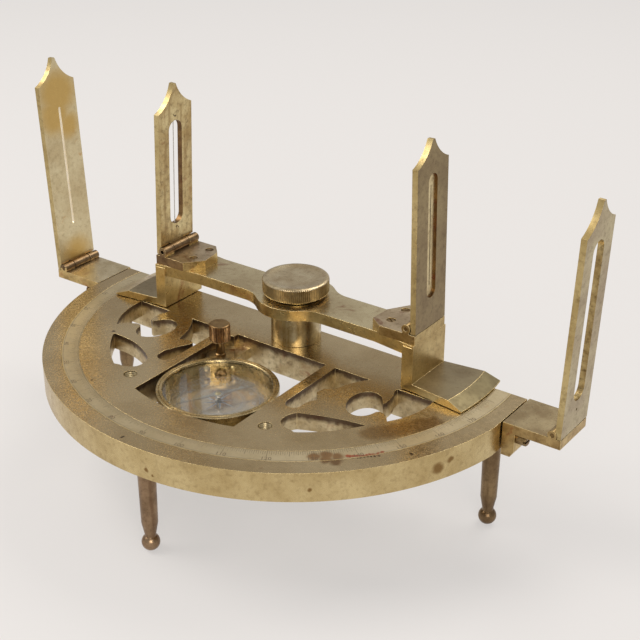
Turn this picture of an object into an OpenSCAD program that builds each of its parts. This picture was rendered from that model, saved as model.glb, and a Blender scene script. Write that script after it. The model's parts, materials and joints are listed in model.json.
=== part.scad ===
// Brass graphometer: a half-circle limb with two fixed folding sights,
// a turning alidade with two folding sights, a let-in compass and three ball-foot legs.
// Millimetres. The origin is on the pivot axis, in the limb's underside. +X along the
// diameter, -Y toward the arc, +Z up.

/* [Limb] */
// Radius of the limb's outer arc
limb_radius = 100; // [90:0.5:110]
// Thickness of the limb casting
limb_thickness = 11.5; // [10:0.1:13]
// Thickness of the pierced web between rim and bar
web_thickness = 7; // [5:0.1:9]
// Inner radius of the rim that keeps the full thickness
rim_inner = 84; // [78:0.5:85]
// Half the width over the two ribs beside the window
rib_outer = 27.8; // [26:0.1:28]
// Distance from the pivot axis to the straight back edge
bar_back = 9.4; // [8:0.1:11]
// Distance from the pivot axis to the bar's inner edge
bar_front = 12.5; // [11.5:0.1:14]
// How far the bar's flat ends stand inside the limb's radius
bar_trim = 1.3; // [0.8:0.1:3]
// Inner radius of the divided band
band_inner = 86; // [84:0.1:89]
// Outer radius of the divided band
band_outer = 92.7; // [90.5:0.1:95]
// Thickness of the divided band
band_thickness = 0.8; // [0.5:0.1:1.5]
// Half the width of the compass window
window_half_width = 23.5; // [23.4:0.1:25]
// Reach of the compass window from the pivot axis
window_reach = 73; // [72:0.5:80]
// Half the spacing of the two tapped holes
tapped_half_spacing = 32.25; // [30:0.25:36]
// Distance of the tapped holes in front of the pivot axis
tapped_front = 62.1; // [60:0.1:66]
// Radius of the two tapped holes
tapped_radius = 2.6; // [1.5:0.1:3]

/* [Pivot and clamp] */
// Radius of the pivot boss
boss_radius = 10; // [8:0.1:12]
// Height of the pivot boss above the limb
boss_height = 14.2; // [13:0.1:18]
// Radius of the spigot that the alidade turns on
spigot_radius = 5; // [4:0.1:6]
// Radius of the threaded stud
stud_radius = 3; // [2:0.1:3.5]
// Radius of the clamp knob
knob_radius = 13.2; // [11:0.1:15]
// Height of the clamp knob
knob_height = 6.1; // [5:0.1:8]
// Radius of the washer under the knob
washer_radius = 11; // [8:0.1:12]
// Thickness of the washer
washer_thickness = 0.8; // [0.5:0.1:1.5]

/* [Alidade] */
// Length of the alidade's left arm from the pivot axis
arm_left = 63.7; // [61:0.1:66]
// Length of the alidade's right arm from the pivot axis
arm_right = 61.6; // [60:0.1:64]
// Thickness of the alidade's arm
arm_thickness = 4.5; // [3.5:0.1:6]
// Radius of the arm's middle disc
arm_disc_radius = 16; // [15:0.1:18]
// Half the width of the arm beside the disc
arm_neck_half_width = 9; // [8:0.1:10]
// Distance from the pivot axis where the arm starts to widen
arm_flare_start = 43; // [38:0.5:50]
// Half the width of the arm at its ends
arm_end_half_width = 11.5; // [10.8:0.1:13]
// Thickness of the risers at the arm's ends
riser_thickness = 4.8; // [3.5:0.1:6]
// Reach of the vernier feet from the pivot axis
foot_reach = 85.8; // [82:0.1:85.9]
// Radius where the feet's bevel starts
bevel_start = 79.4; // [75:0.1:81]
// Thickness of the feet
foot_thickness = 3; // [2.4:0.1:4]
// Thickness of the feet's reading edge
foot_edge = 0.6; // [0.5:0.1:1.2]
// Widening of the feet per millimetre outward
foot_flare = 0.13; // [0:0.01:0.15]
// Thickness of the hinge leaves
leaf_thickness = 3.8; // [3.6:0.1:5]
// Length of the left hinge leaf along the arm
leaf_length_left = 19.6; // [17.5:0.1:22]
// Length of the right hinge leaf along the arm
leaf_length_right = 20.8; // [17.5:0.1:22]
// Half the width of the hinge leaves
leaf_half_width = 10.6; // [10.2:0.1:11]
// Length of the leaves' corner cuts along the arm
leaf_corner = 5.2; // [3:0.1:7]
// Half the width of the leaves' inner edges
leaf_tip_half = 4.6; // [3:0.1:6]
// Sideways place of the left leaf's inner edge
leaf_tip_left = 1.2; // [-3:0.1:3]
// Sideways place of the right leaf's inner edge
leaf_tip_right = -2; // [-3:0.1:3]
// Distance of the leaf screws from the arm's end
leaf_screw_inset = 14.5; // [13:0.1:16]
// Radius of the leaf screws' heads
leaf_screw_head = 1.7; // [1.3:0.1:2]
// Radius of the leaf screws' shanks
leaf_screw_radius = 1; // [0.8:0.1:1.2]

/* [Folding sights] */
// Thickness of the sight plates
sight_thickness = 2.3; // [2:0.1:3]
// Half the width of the left fixed sight
fixed_eye_half_width = 10.1; // [9:0.1:11]
// Half the width of the right fixed sight
fixed_object_half_width = 10.4; // [9:0.1:11]
// Half the width of the left moving sight
moving_object_half_width = 9.9; // [9:0.1:11]
// Half the width of the right moving sight
moving_eye_half_width = 10.3; // [9:0.1:11]
// Height of the left fixed sight's shoulders above the bracket
fixed_eye_shoulder = 82.2; // [76:0.1:84]
// Height of the left fixed sight's tip above the bracket
fixed_eye_tip = 92.8; // [86:0.1:94]
// Height of the right fixed sight's shoulders above the bracket
fixed_object_shoulder = 77.9; // [76:0.1:84]
// Height of the right fixed sight's tip above the bracket
fixed_object_tip = 87.6; // [86:0.1:94]
// Height of the left moving sight's shoulders above the leaf
moving_object_shoulder = 60.6; // [58:0.1:64]
// Height of the left moving sight's tip above the leaf
moving_object_tip = 70.7; // [67:0.1:73]
// Height of the right moving sight's shoulders above the leaf
moving_eye_shoulder = 63.3; // [58:0.1:64]
// Height of the right moving sight's tip above the leaf
moving_eye_tip = 72; // [67:0.1:73]
// How much higher the back shoulder of the fixed object sight is
fixed_object_skew = 2.2; // [0:0.1:3]
// How much higher the back shoulder of the moving object sight is
moving_object_skew = 1.5; // [0:0.1:3]
// Radius of the sights' hollow shoulders
head_radius = 16; // [14:0.5:20]
// Half the width of the sights' tips
tip_half_width = 0.7; // [0.5:0.1:1.5]
// Width of the moving object sight's window
moving_window_width = 7.7; // [6:0.1:9]
// Height of the moving object window's foot above the leaf
moving_window_low = 11.2; // [9:0.1:14]
// Height of the moving object window's head above the leaf
moving_window_high = 55.7; // [50:0.1:57]
// Width of the fixed object sight's window
fixed_window_width = 8.2; // [6:0.1:9]
// Height of the fixed object window's foot above the bracket
fixed_window_low = 12.2; // [10:0.1:14]
// Height of the fixed object window's head above the bracket
fixed_window_high = 73.4; // [66:0.1:74]
// Width of the eye sights' recesses
recess_width = 6; // [4:0.1:8]
// Depth of the eye sights' recesses
recess_depth = 0.9; // [0.5:0.1:1.2]
// Height of the moving eye recess's foot above the leaf
moving_recess_low = 11.7; // [9:0.1:14]
// Height of the moving eye recess's head above the leaf
moving_recess_high = 59.5; // [52:0.1:60]
// How far the recesses run past the slits at each end
recess_margin = 4.5; // [2:0.1:6]
// Width of the moving eye sight's slit
moving_slit = 0.4; // [0.3:0.1:1]
// Width of the fixed eye sight's slit
fixed_slit = 1.2; // [0.6:0.1:2]
// Height of the fixed eye slit's foot above the bracket
fixed_slit_low = 19.3; // [15:0.1:22]
// Height of the fixed eye slit's head above the bracket
fixed_slit_high = 71.7; // [64:0.1:74]
// Height of the empty hair hole in the fixed object sight
hair_hole_height = 8.4; // [7.5:0.1:9.5]
// Outward lean of the left fixed sight, in degrees
fixed_eye_lean = 3; // [-4:0.1:8]
// Outward lean of the right fixed sight, in degrees
fixed_object_lean = 1.9; // [-4:0.1:8]
// Outward lean of the left moving sight, in degrees
moving_object_lean = -2.2; // [-4:0.1:4]
// Outward lean of the right moving sight, in degrees
moving_eye_lean = -1.4; // [-4:0.1:4]
// Radius of the hinge knuckles
knuckle_radius = 1.85; // [1.6:0.05:2]
// Radius of the hinge pins
pin_radius = 0.8; // [0.6:0.05:1]
// Distance from a fixed sight's outer face to its hinge pin
fixed_pin_inset = 3.5; // [3.3:0.1:4.5]
// Distance from the left moving sight's outer face to its hinge pin
object_pin_inset = 3.4; // [3.3:0.1:4.5]
// Distance from the right moving sight's outer face to its hinge pin
eye_pin_inset = 4.1; // [3.3:0.1:4.5]
// Height of the moving sights' pins above the leaf
moving_pin_height = 1.8; // [0.9:0.05:2]
// Height of the fixed sights' pins above the bracket
fixed_pin_height = 1.15; // [0.9:0.05:1.4]
// Half the length of a sight's own knuckle
knuckle_half = 4.5; // [3.5:0.1:5.5]
// Radius of the sight hair
hair_radius = 0.18; // [0.15:0.01:0.3]

/* [Brackets] */
// Reach of the left bracket beyond the bar's end
bracket_left_length = 24.7; // [20:0.1:27]
// Reach of the right bracket beyond the bar's end
bracket_right_length = 23.3; // [20:0.1:27]
// Half the width of the brackets
bracket_half_width = 10.2; // [10:0.1:11]
// Thickness of the brackets
bracket_thickness = 3.7; // [3.5:0.1:5]
// Thickness of the brackets' flanges
flange_thickness = 5; // [4:0.1:6]
// How far the flanges reach below the limb's underside
flange_drop = 2; // [0:0.1:3]
// Radius of the bracket screws' heads
bracket_screw_head = 2.1; // [1.6:0.1:2.4]
// Radius of the bracket screws' shanks
bracket_screw_radius = 1.5; // [1:0.1:1.7]

/* [Compass] */
// Space between the bezel and the window's end
compass_gap = 0.5; // [0.3:0.1:1]
// Radius of the compass drum
drum_radius = 22.4; // [21:0.1:22.6]
// Thickness of the drum's wall
drum_wall = 1.5; // [1.2:0.1:2]
// Depth of the dial under the limb's top
dial_depth = 7.6; // [6.5:0.1:8]
// Radius of the bezel
bezel_radius = 23.2; // [22.9:0.1:23.2]
// Width of the bezel's outer step
bezel_step = 1; // [0.6:0.1:1.4]
// Height of the drum, bezel included
compass_height = 10.8; // [10:0.1:11]
// Thickness of the glass
glass_thickness = 1; // [0.8:0.1:1.5]
// Length of the compass needle
needle_length = 33; // [26:0.5:36]
// Width of the compass needle
needle_width = 1.6; // [1:0.1:3]
// Direction of the drum's bracket, in degrees from +X
tab_angle = 127.5; // [124:0.5:131]
// Width of the bracket's tab
tab_width = 11; // [8:0.1:12]
// Thickness of the bracket's tab
tab_thickness = 1.6; // [1:0.1:2]
// Depth of the tab's top under the limb's top
tab_depth = 3; // [2.5:0.1:4]
// Distance from the compass centre to the thumb screw
thumb_distance = 29.5; // [29:0.1:30.5]
// Radius of the thumb screw's head
thumb_radius = 4.2; // [3:0.1:4.6]
// Height of the thumb screw's head
thumb_height = 7.2; // [5:0.1:8]

/* [Legs] */
// Height of the legs
leg_height = 39; // [34:0.5:50]
// Radius of the legs' shafts at the limb
leg_radius = 3.45; // [2.5:0.05:4]
// How much the shafts' radius shrinks toward the neck
leg_taper = 0.35; // [0:0.05:0.6]
// Depth of the seats that the legs stand in
leg_seat_depth = 0.5; // [0.3:0.1:1]
// Radius of the legs' necks
neck_radius = 2.15; // [1.5:0.05:2.4]
// Radius of the ball feet
ball_radius = 3.45; // [3:0.05:5]
// Distance of the front leg from the limb's outer arc
leg_front_inset = 10; // [8:0.1:13]
// Distance of the side legs from the bar's ends
leg_side_inset = 6.7; // [6:0.1:11]

/* [Clearances] */
// Gap between pieces that move past each other
moving_gap = 0.3; // [0.2:0.05:0.4]
// Radial clearance of turning pins and spigots
running_fit = 0.05; // [0.02:0.01:0.1]
// Radial clearance of pieces that are fixed in holes
fixed_fit = 0.05; // [0.02:0.01:0.2]
// Clearance of the band in its groove and of the bracket against the limb
seat_fit = 0.05; // [0.02:0.01:0.2]
// Joint line between the bar's ends and the brackets
joint_line = 0.5; // [0.3:0.05:0.6]

/* [Hidden] */
$fn = 96;
e = 0.01;
deck = limb_thickness;
tracery = limb_radius / 100;
bar_end = limb_radius - bar_trim;
boss_top = deck + boss_height;
arm_low = boss_top + moving_gap;
arm_top = arm_low + arm_thickness;
leaf_top = arm_top + leaf_thickness;
washer_low = arm_top + moving_gap;
knob_low = washer_low + washer_thickness + 0.15;
knob_top = knob_low + knob_height;
knob_plate = 1.3;
stud_low = deck - 8;
stud_top = knob_top - knob_plate - 0.9;
foot_low = deck + moving_gap;
object_pin_x = arm_left - object_pin_inset;
eye_pin_x = arm_right - eye_pin_inset;
moving_pin_z = leaf_top + moving_pin_height;
bracket_left_reach = bar_end + bracket_left_length;
bracket_right_reach = bar_end + bracket_right_length;
fixed_left_x = bracket_left_reach - fixed_pin_inset;
fixed_right_x = bracket_right_reach - fixed_pin_inset;
fixed_pin_z = deck + fixed_pin_height;
recess_radius = knuckle_radius + moving_gap;
compass_front = window_reach - bezel_radius - compass_gap;
dial_top = deck - dial_depth;
dial_plate = 0.6;
dial_seat = 18;
floor_low = 0.2;
floor_thickness = 1.1;
floor_top = floor_low + floor_thickness;
compass_top = floor_low + compass_height;
glass_top = compass_top - 1.1;
glass_low = glass_top - glass_thickness;
drum_inner = drum_radius - drum_wall;
glass_radius = drum_inner + 0.5;
bezel_inner = drum_inner - 0.1;
tab_top = deck - tab_depth;
tab_low = tab_top - tab_thickness;
skirt_low = max(tab_top + 0.1, glass_top - 1.5);
wall_plate = 1.3;
wall_plate_low = 1;
shelf_thickness = 4.4;
corner_post = [3.8, 2.5];
thumb_x = thumb_distance * cos(tab_angle);
thumb_y = thumb_distance * sin(tab_angle) - compass_front;
thumb_low = deck + 3.8;
thumb_shank = 1.2;
thumb_play = 0.25;
rivet_radius = 0.8;
rivet_angles = [tab_angle - 14.6, tab_angle + 14.2];
rivet_z = deck - 5;
screw_radius = 1;
screw_angle = tab_angle - 1;
screw_z = dial_top + 0.2;
post_radius = 1.2;
needle_z = dial_top + 2.9;
needle_angle = 62;
tenon_radius = 2;
tenon_top = 5;
bracket_screw_y = 7.2;
bracket_screw_z = deck - 6.4;
bracket_screw_bite = 4;
leaf_screw_ys = [-4.1, 6.1];
eye_middle = [52.1, -28.5];
eye_half_width = 6.5;
eye_half_length = 9.05;
eye_tilt = 13;
left_eye_shift = [-2.2, 1];
finger_lip_right = [[34.3, -40.7], [35, -38.4], [36.6, -36.3], [34.8, -34.1], [33.1, -32],
    [33.6, -28.2], [36, -26.4]];
finger_lip_left = [[34.5, -40.5], [32.5, -35.2], [29.9, -30.4], [29.8, -28.6], [31.6, -27.9],
    [34, -28.5], [36.4, -29.4]];

// Which node to draw

// Points on the arc from a to b whose middle stands s to the left of the straight line, b left out
function bow(a, b, s, n = 12) =
    let (d = b - a, c = norm(d), r = (c * c / 4 + s * s) / (2 * s), m = (a + b) / 2,
        o = m + [d[1], -d[0]] / c * (r - s),
        a0 = atan2(a[1] - o[1], a[0] - o[0]), a1 = atan2(b[1] - o[1], b[0] - o[0]),
        w = a1 - a0, t = w > 180 ? w - 360 : w < -180 ? w + 360 : w)
    [for (i = [0:n - 1]) o + abs(r) * [cos(a0 + t * i / n), sin(a0 + t * i / n)]];

// Points on a circle from one angle to another
function arc(o, r, a0, a1, n = 24) =
    [for (i = [0:n]) o + r * [cos(a0 + (a1 - a0) * i / n), sin(a0 + (a1 - a0) * i / n)]];

// Points on the tilted oval of the eye from one angle to another
function oval(o, a0, a1, n) =
    [for (i = [0:n]) let (t = a0 + (a1 - a0) * i / n,
        p = [eye_half_width * cos(t), eye_half_length * sin(t)])
        o + [p[0] * cos(eye_tilt) - p[1] * sin(eye_tilt), p[0] * sin(eye_tilt) + p[1] * cos(eye_tilt)]];

module limb_outline() {
    intersection() {
        circle(limb_radius, $fn = 360);
        translate([-bar_end, -limb_radius - 1]) square([2 * bar_end, limb_radius + 1 + bar_back]);
    }
}

// Everything in front of the bar
module front_area() {
    translate([-limb_radius, -limb_radius - 1]) square([2 * limb_radius, limb_radius + 1 - bar_front]);
}

// Finger opening beside the compass window, a pointed sail over a round-ended slot
module finger_opening(lip) {
    polygon(tracery * concat([[rib_outer, -10], [rib_outer, -43.2]],
        arc([rib_outer + 3.3, -43.2], 3.3, 182, 360, 12), lip,
        bow([37.3, -25.6], [46, -10], 1.3), [[46, -10]]));
}

// Eye and corner opening, joined between a hook above and a tongue below
module eye_opening(shift) {
    polygon(tracery * concat([[56, -10], [71.8, -10], [71.8, -13]],
        bow([71.8, -13], [65.7, -34], 1.9),
        [[65.6, -34.2], [63.6, -31.6] + shift / 2],
        [[61.5, -30.1] + shift, [59.5, -30.1] + shift],
        oval(eye_middle + shift, -26, -316, 48),
        [[57.6, -24.7] + shift, [58, -23.6] + shift / 2],
        [[57.9, -20.5] + shift / 4, [57.4, -17.5], [56.2, -14.6]]));
}

// Drop-shaped opening along the arc; s is the bulge of its inner side
module drop_opening(s) {
    polygon(tracery * concat(bow([60.8, -41], [36, -48.2], -s),
        bow([36, -48.2], [34.6, -56], -1.1, 8),
        bow([34.6, -56], [41, -58.9], -0.9, 8),
        [[41, -58.9]],
        bow([43.1, -59.5], [60.8, -41], -1.5)));
}

module tracery_openings() {
    intersection() {
        union() {
            finger_opening(finger_lip_right);
            mirror([1, 0, 0]) finger_opening(finger_lip_left);
            eye_opening([0, 0]);
            mirror([1, 0, 0]) eye_opening(left_eye_shift);
            drop_opening(1);
            mirror([1, 0, 0]) drop_opening(2.4);
        }
        front_area();
    }
}

module compass_window() {
    intersection() {
        circle(window_reach, $fn = 360);
        translate([-window_half_width, -window_reach - 1])
            square([2 * window_half_width, window_reach + 1 - bar_front]);
    }
}

// Area of the underside that is cast hollow, between rim, bar and ribs
module hollow_area() {
    difference() {
        intersection() {
            circle(rim_inner, $fn = 360);
            front_area();
        }
        translate([-rib_outer, -limb_radius]) square([2 * rib_outer, limb_radius]);
    }
}

// Ring sector of the band, widened by a clearance
module band_sector(gap) {
    intersection() {
        difference() {
            circle(band_outer + gap, $fn = 360);
            circle(band_inner - gap, $fn = 360);
        }
        translate([-limb_radius, -limb_radius - 1]) square([2 * limb_radius, limb_radius + 1 + bar_back]);
    }
}

// Post and shelf in the window's corner, the seat of the thumb screw
module corner_seat() {
    translate([-window_half_width - 1, -bar_front - corner_post[1], 0])
        cube([corner_post[0] + 1, corner_post[1] + 1, deck]);
    translate([0, 0, tab_low - shelf_thickness - seat_fit]) linear_extrude(shelf_thickness) difference() {
        polygon([[-window_half_width - 1, -bar_front + 1], [-14, -bar_front + 1],
            [-13, -28], [-window_half_width - 1, -30]]);
        translate([0, -compass_front]) circle(bezel_radius + 0.2);
    }
}

module limb_plate() {
    color("#8f7a55") difference() {
        union() {
            difference() {
                linear_extrude(deck) difference() {
                    limb_outline();
                    compass_window();
                    tracery_openings();
                }
                translate([0, 0, -1]) linear_extrude(deck - web_thickness + 1) hollow_area();
                translate([0, 0, deck - band_thickness - seat_fit])
                    linear_extrude(band_thickness + 1) band_sector(seat_fit);
            }
            corner_seat();
        }
        for (s = [-1, 1]) translate([s * tapped_half_spacing, -tapped_front, -1])
            cylinder(h = deck + 2, r = tapped_radius);
        translate([thumb_x, thumb_y, -1]) cylinder(h = deck, r = thumb_shank + running_fit);
        translate([0, 0, stud_low - moving_gap]) cylinder(h = deck, r = stud_radius + fixed_fit);
        for (p = leg_places()) translate([p[0], p[1], -1]) {
            cylinder(h = tenon_top + 1 + moving_gap, r = tenon_radius + fixed_fit);
            cylinder(h = leg_seat_depth + 1, r = leg_radius + fixed_fit);
        }
        for (s = [-1, 1], y = [-bracket_screw_y, bracket_screw_y])
            translate([s * (bar_end - bracket_screw_bite - moving_gap), y, bracket_screw_z])
                rotate([0, s * 90, 0]) cylinder(h = 10, r = bracket_screw_radius + fixed_fit);
    }
}

module scale_band() {
    color("#9a9272") translate([0, 0, deck - band_thickness]) linear_extrude(band_thickness) band_sector(0);
}

module pivot_boss() {
    color("#a08a60") rotate_extrude() polygon([[stud_radius + fixed_fit, deck],
        [boss_radius, deck], [boss_radius, boss_top - 0.3], [boss_radius - 0.3, boss_top],
        [spigot_radius, boss_top], [spigot_radius, arm_top + 0.05],
        [stud_radius + fixed_fit, arm_top + 0.05]]);
}

module pivot_stud() {
    color("#8a8a88") translate([0, 0, stud_low]) cylinder(h = stud_top - stud_low, r = stud_radius);
}

// Outer knuckles of a leaf or bracket with their feet: pin on the y axis, width 2w
module outer_knuckles(w, drop) {
    k = knuckle_half + moving_gap;
    for (s = [-1, 1]) {
        translate([0, s * (w + k) / 2, 0]) rotate([90, 0, 0])
            cylinder(h = w - k, r = knuckle_radius, center = true);
        translate([-1.4, s > 0 ? k : -w, -drop - 0.8]) cube([2.8, w - k, drop + 0.8]);
    }
}

// Room for the sight's own knuckle and the bore for the pin
module hinge_cuts(w) {
    rotate([90, 0, 0]) cylinder(h = 2 * (knuckle_half + moving_gap), r = recess_radius, center = true);
    rotate([90, 0, 0]) cylinder(h = 2 * w + 2, r = pin_radius + fixed_fit, center = true);
}

module bracket(reach) {
    root = bar_end + joint_line;
    face = root + flange_thickness;
    pin_x = reach - fixed_pin_inset;
    difference() {
        union() {
            rotate([90, 0, 0]) linear_extrude(2 * bracket_half_width, center = true)
                polygon([[root, -flange_drop], [root, deck], [reach, deck],
                    [reach, deck - bracket_thickness], [face, deck - bracket_thickness],
                    [face, 2.4 - flange_drop], [face - 1.4, -flange_drop]]);
            translate([pin_x, 0, fixed_pin_z]) outer_knuckles(bracket_half_width, fixed_pin_height);
        }
        translate([pin_x, 0, fixed_pin_z]) hinge_cuts(bracket_half_width);
        for (y = [-1, 1]) translate([bar_end - 1, y * bracket_screw_y, bracket_screw_z])
            rotate([0, 90, 0]) cylinder(h = 9, r = bracket_screw_radius + fixed_fit);
    }
}

module bracket_left() {
    color("#a89468") mirror([1, 0, 0]) bracket(bracket_left_reach);
}

module bracket_right() {
    color("#a89468") bracket(bracket_right_reach);
}

module bracket_screws() {
    face = bar_end + joint_line + flange_thickness;
    low = bar_end - bracket_screw_bite;
    color("#8a6f45") for (s = [-1, 1], y = [-1, 1])
        translate([0, y * bracket_screw_y, bracket_screw_z]) scale([s, 1, 1]) difference() {
            rotate([0, 90, 0]) rotate_extrude() polygon([[0, low], [bracket_screw_radius, low],
                [bracket_screw_radius, face], [bracket_screw_head, face], [bracket_screw_head, face + 3.6],
                [bracket_screw_head - 0.4, face + 4], [0, face + 4]]);
            translate([face + 3, -3, -0.35]) cube([2, 6, 0.7]);
        }
}

module hinge_pin(x, z, y0, y1) {
    translate([x, y1, z]) rotate([90, 0, 0]) cylinder(h = y1 - y0, r = pin_radius);
}

module fixed_pin_left() {
    color("#7d6a48") hinge_pin(-fixed_left_x, fixed_pin_z, -bracket_half_width, bracket_half_width);
}

module fixed_pin_right() {
    color("#7d6a48") hinge_pin(fixed_right_x, fixed_pin_z, -bracket_half_width, bracket_half_width);
}

module alidade_pin_left() {
    color("#7d6a48") hinge_pin(-object_pin_x, moving_pin_z, -leaf_half_width + 1.8, leaf_half_width);
}

module alidade_pin_right() {
    color("#7d6a48") hinge_pin(eye_pin_x, moving_pin_z, -leaf_half_width, leaf_half_width);
}

function leg_places() = [[0, leg_front_inset - limb_radius],
    [leg_side_inset - bar_end, -3], [bar_end - leg_side_inset, -3]];

// Leg profile: tapered shaft, neck and ball foot, with a tenon into the limb
module leg(p) {
    ball_z = -leg_height + ball_radius;
    neck_z = ball_z + sqrt(ball_radius * ball_radius - neck_radius * neck_radius);
    color("#6e5a44") translate([p[0], p[1], 0]) union() {
        rotate_extrude() polygon([[0, neck_z - 0.5], [neck_radius, neck_z - 0.5],
            [neck_radius, neck_z + 0.9], [leg_radius - leg_taper, neck_z + 6], [leg_radius, leg_seat_depth],
            [tenon_radius, leg_seat_depth], [tenon_radius, tenon_top - 0.2],
            [tenon_radius - 0.2, tenon_top], [0, tenon_top]]);
        translate([0, 0, ball_z]) sphere(ball_radius);
    }
}

module leg_front() { leg(leg_places()[0]); }

module leg_left() { leg(leg_places()[1]); }

module leg_right() { leg(leg_places()[2]); }

module at_compass() {
    translate([0, -compass_front, 0]) children();
}

// Cross bores through the drum's wall for the two rivets and the screw
module wall_holes() {
    for (a = rivet_angles) rotate([0, 0, a]) translate([drum_inner - 2, 0, rivet_z])
        rotate([0, 90, 0]) cylinder(h = 8, r = rivet_radius + fixed_fit);
    rotate([0, 0, screw_angle]) translate([drum_inner - 2, 0, screw_z])
        rotate([0, 90, 0]) cylinder(h = 8, r = screw_radius + fixed_fit);
}

module compass_drum() {
    color("#93805a") at_compass() difference() {
        rotate_extrude() polygon([[0, floor_low], [drum_radius - 0.4, floor_low],
            [drum_radius, floor_low + 0.4], [drum_radius, glass_top], [glass_radius + fixed_fit, glass_top],
            [glass_radius + fixed_fit, glass_low], [drum_inner, glass_low], [drum_inner, floor_top],
            [0, floor_top]]);
        wall_holes();
    }
}

module compass_bezel() {
    color("#a08c62") at_compass() rotate_extrude() polygon([[bezel_inner, glass_top],
        [drum_radius + fixed_fit, glass_top], [drum_radius + fixed_fit, skirt_low],
        [bezel_radius, skirt_low], [bezel_radius, compass_top - 0.35],
        [bezel_radius - 0.2, compass_top - 0.15], [bezel_radius - bezel_step, compass_top - 0.15],
        [bezel_radius - bezel_step - 0.15, compass_top - 0.45],
        [bezel_radius - bezel_step - 0.3, compass_top],
        [bezel_inner + 0.2, compass_top], [bezel_inner, compass_top - 0.2]]);
}

module compass_glass() {
    color("#dfe8e4") at_compass() translate([0, 0, glass_low])
        cylinder(h = glass_thickness, r = glass_radius);
}

module compass_dial() {
    color("#b8b49c") at_compass() difference() {
        rotate_extrude() polygon([[post_radius + fixed_fit, floor_top], [dial_seat, floor_top],
            [dial_seat, dial_top - dial_plate], [drum_inner - fixed_fit, dial_top - dial_plate],
            [drum_inner - fixed_fit, dial_top], [post_radius + fixed_fit, dial_top]]);
        rotate([0, 0, screw_angle]) translate([drum_inner - 1.6, -2.4, 0]) cube([4, 4.8, deck]);
    }
}

module needle_post() {
    color("#8a8a88") at_compass() rotate_extrude() polygon([[0, floor_top], [post_radius, floor_top],
        [post_radius, dial_top + 0.6], [0.45, dial_top + 1.2], [0.45, needle_z - 0.6],
        [0, needle_z + 0.2]]);
}

// Needle: a long lozenge with a round eye for the cap
module needle() {
    h = needle_length / 2;
    color("#b9bcc0") at_compass() translate([0, 0, needle_z]) difference() {
        rotate([0, 0, needle_angle]) linear_extrude(0.5) union() {
            polygon([[-h, 0], [0, -needle_width / 2], [h, 0], [0, needle_width / 2]]);
            circle(2.2, $fn = 48);
        }
        translate([0, 0, -1]) cylinder(h = 3, r = 1.2 + fixed_fit);
    }
}

module needle_cap() {
    color("#b08d4a") at_compass() translate([0, 0, needle_z]) rotate_extrude() polygon([[0.75, -0.5],
        [1.2, -0.5], [1.2, 0.5], [0.7, 1.1], [0, 1.1], [0, 0.5], [0.75, 0.5]]);
}

module compass_bracket() {
    color("#9c8358") at_compass() difference() {
        union() {
            intersection() {
                rotate_extrude() polygon([[drum_radius + 0.02, wall_plate_low],
                    [drum_radius + wall_plate, wall_plate_low], [drum_radius + wall_plate, tab_top],
                    [drum_radius + 0.02, tab_top]]);
                rotate([0, 0, tab_angle - 20]) translate([0, 0, -1])
                    linear_extrude(deck) polygon([[0, 0], [40, 0], [40, 40 * tan(40)]]);
            }
            intersection() {
                difference() {
                    rotate([0, 0, tab_angle]) translate([drum_radius - 3, -tab_width / 2, tab_low])
                        cube([15, tab_width, tab_thickness]);
                    translate([0, 0, -1]) cylinder(h = deck, r = drum_radius + 0.02);
                }
                translate([-window_half_width + moving_gap, 0, 0]) cube([2 * window_half_width,
                    compass_front - bar_front - corner_post[1] - moving_gap, deck]);
            }
        }
        wall_holes();
        rotate([0, 0, tab_angle]) translate([thumb_distance, 0, 0])
            cylinder(h = deck, r = thumb_shank + thumb_play);
    }
}

module compass_rivets() {
    tail = drum_radius + wall_plate;
    color("#8b7a52") at_compass() for (a = rivet_angles) rotate([0, 0, a]) translate([0, 0, rivet_z])
        rotate([0, 90, 0]) rotate_extrude() polygon([[0, drum_inner - 0.9], [0.9, drum_inner - 0.7],
            [1.4, drum_inner - 0.12], [rivet_radius, drum_inner - 0.12], [rivet_radius, tail], [0, tail]]);
}

module compass_screw() {
    tail = drum_radius + wall_plate;
    color("#a08c62") at_compass() rotate([0, 0, screw_angle]) translate([0, 0, screw_z]) difference() {
        rotate([0, 90, 0]) rotate_extrude() polygon([[0, drum_inner - 1.2], [1.8, drum_inner - 1.2],
            [2.1, drum_inner - 0.9], [2.1, drum_inner - 0.15], [screw_radius, drum_inner - 0.15],
            [screw_radius, tail], [0, tail]]);
        rotate([35, 0, 0]) translate([drum_inner - 1.7, -3, -0.25]) cube([1, 6, 0.5]);
    }
}

module thumb_screw() {
    color("#a5664a") translate([thumb_x, thumb_y, 0]) rotate_extrude() polygon([[0, tab_low - 4],
        [thumb_shank, tab_low - 4], [thumb_shank, tab_top], [2.1, tab_top + 0.02], [2.1, tab_top + 0.9],
        [1.7, tab_top + 1.2], [1.7, thumb_low], [thumb_radius - 0.3, thumb_low],
        [thumb_radius, thumb_low + 0.3],
        [thumb_radius, thumb_low + thumb_height - 0.4], [thumb_radius - 0.4, thumb_low + thumb_height],
        [0, thumb_low + thumb_height]]);
}

// Edge of one arm of the alidade, from its end to the top of the middle disc
function arm_edge(reach) =
    let (f = 12, xf = sqrt(pow(arm_disc_radius + f, 2) - pow(arm_neck_half_width + f, 2)),
        a = atan2(arm_neck_half_width + f, xf))
    concat([[reach, arm_end_half_width], [arm_flare_start, arm_neck_half_width]],
        arc([xf, arm_neck_half_width + f], f, 270, 180 + a, 8),
        arc([0, 0], arm_disc_radius, a + 4, 90, 12));

// Outline of the arm: a disc with hollow flares into the two widening arms
module arm_outline() {
    right = arm_edge(arm_right);
    left = arm_edge(arm_left);
    n = len(right);
    polygon(concat(right,
        [for (i = [n - 2:-1:0]) [-left[i][0], left[i][1]]],
        [for (i = [0:n - 1]) [-left[i][0], -left[i][1]]],
        [for (i = [n - 2:-1:0]) [right[i][0], -right[i][1]]]));
}

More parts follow.
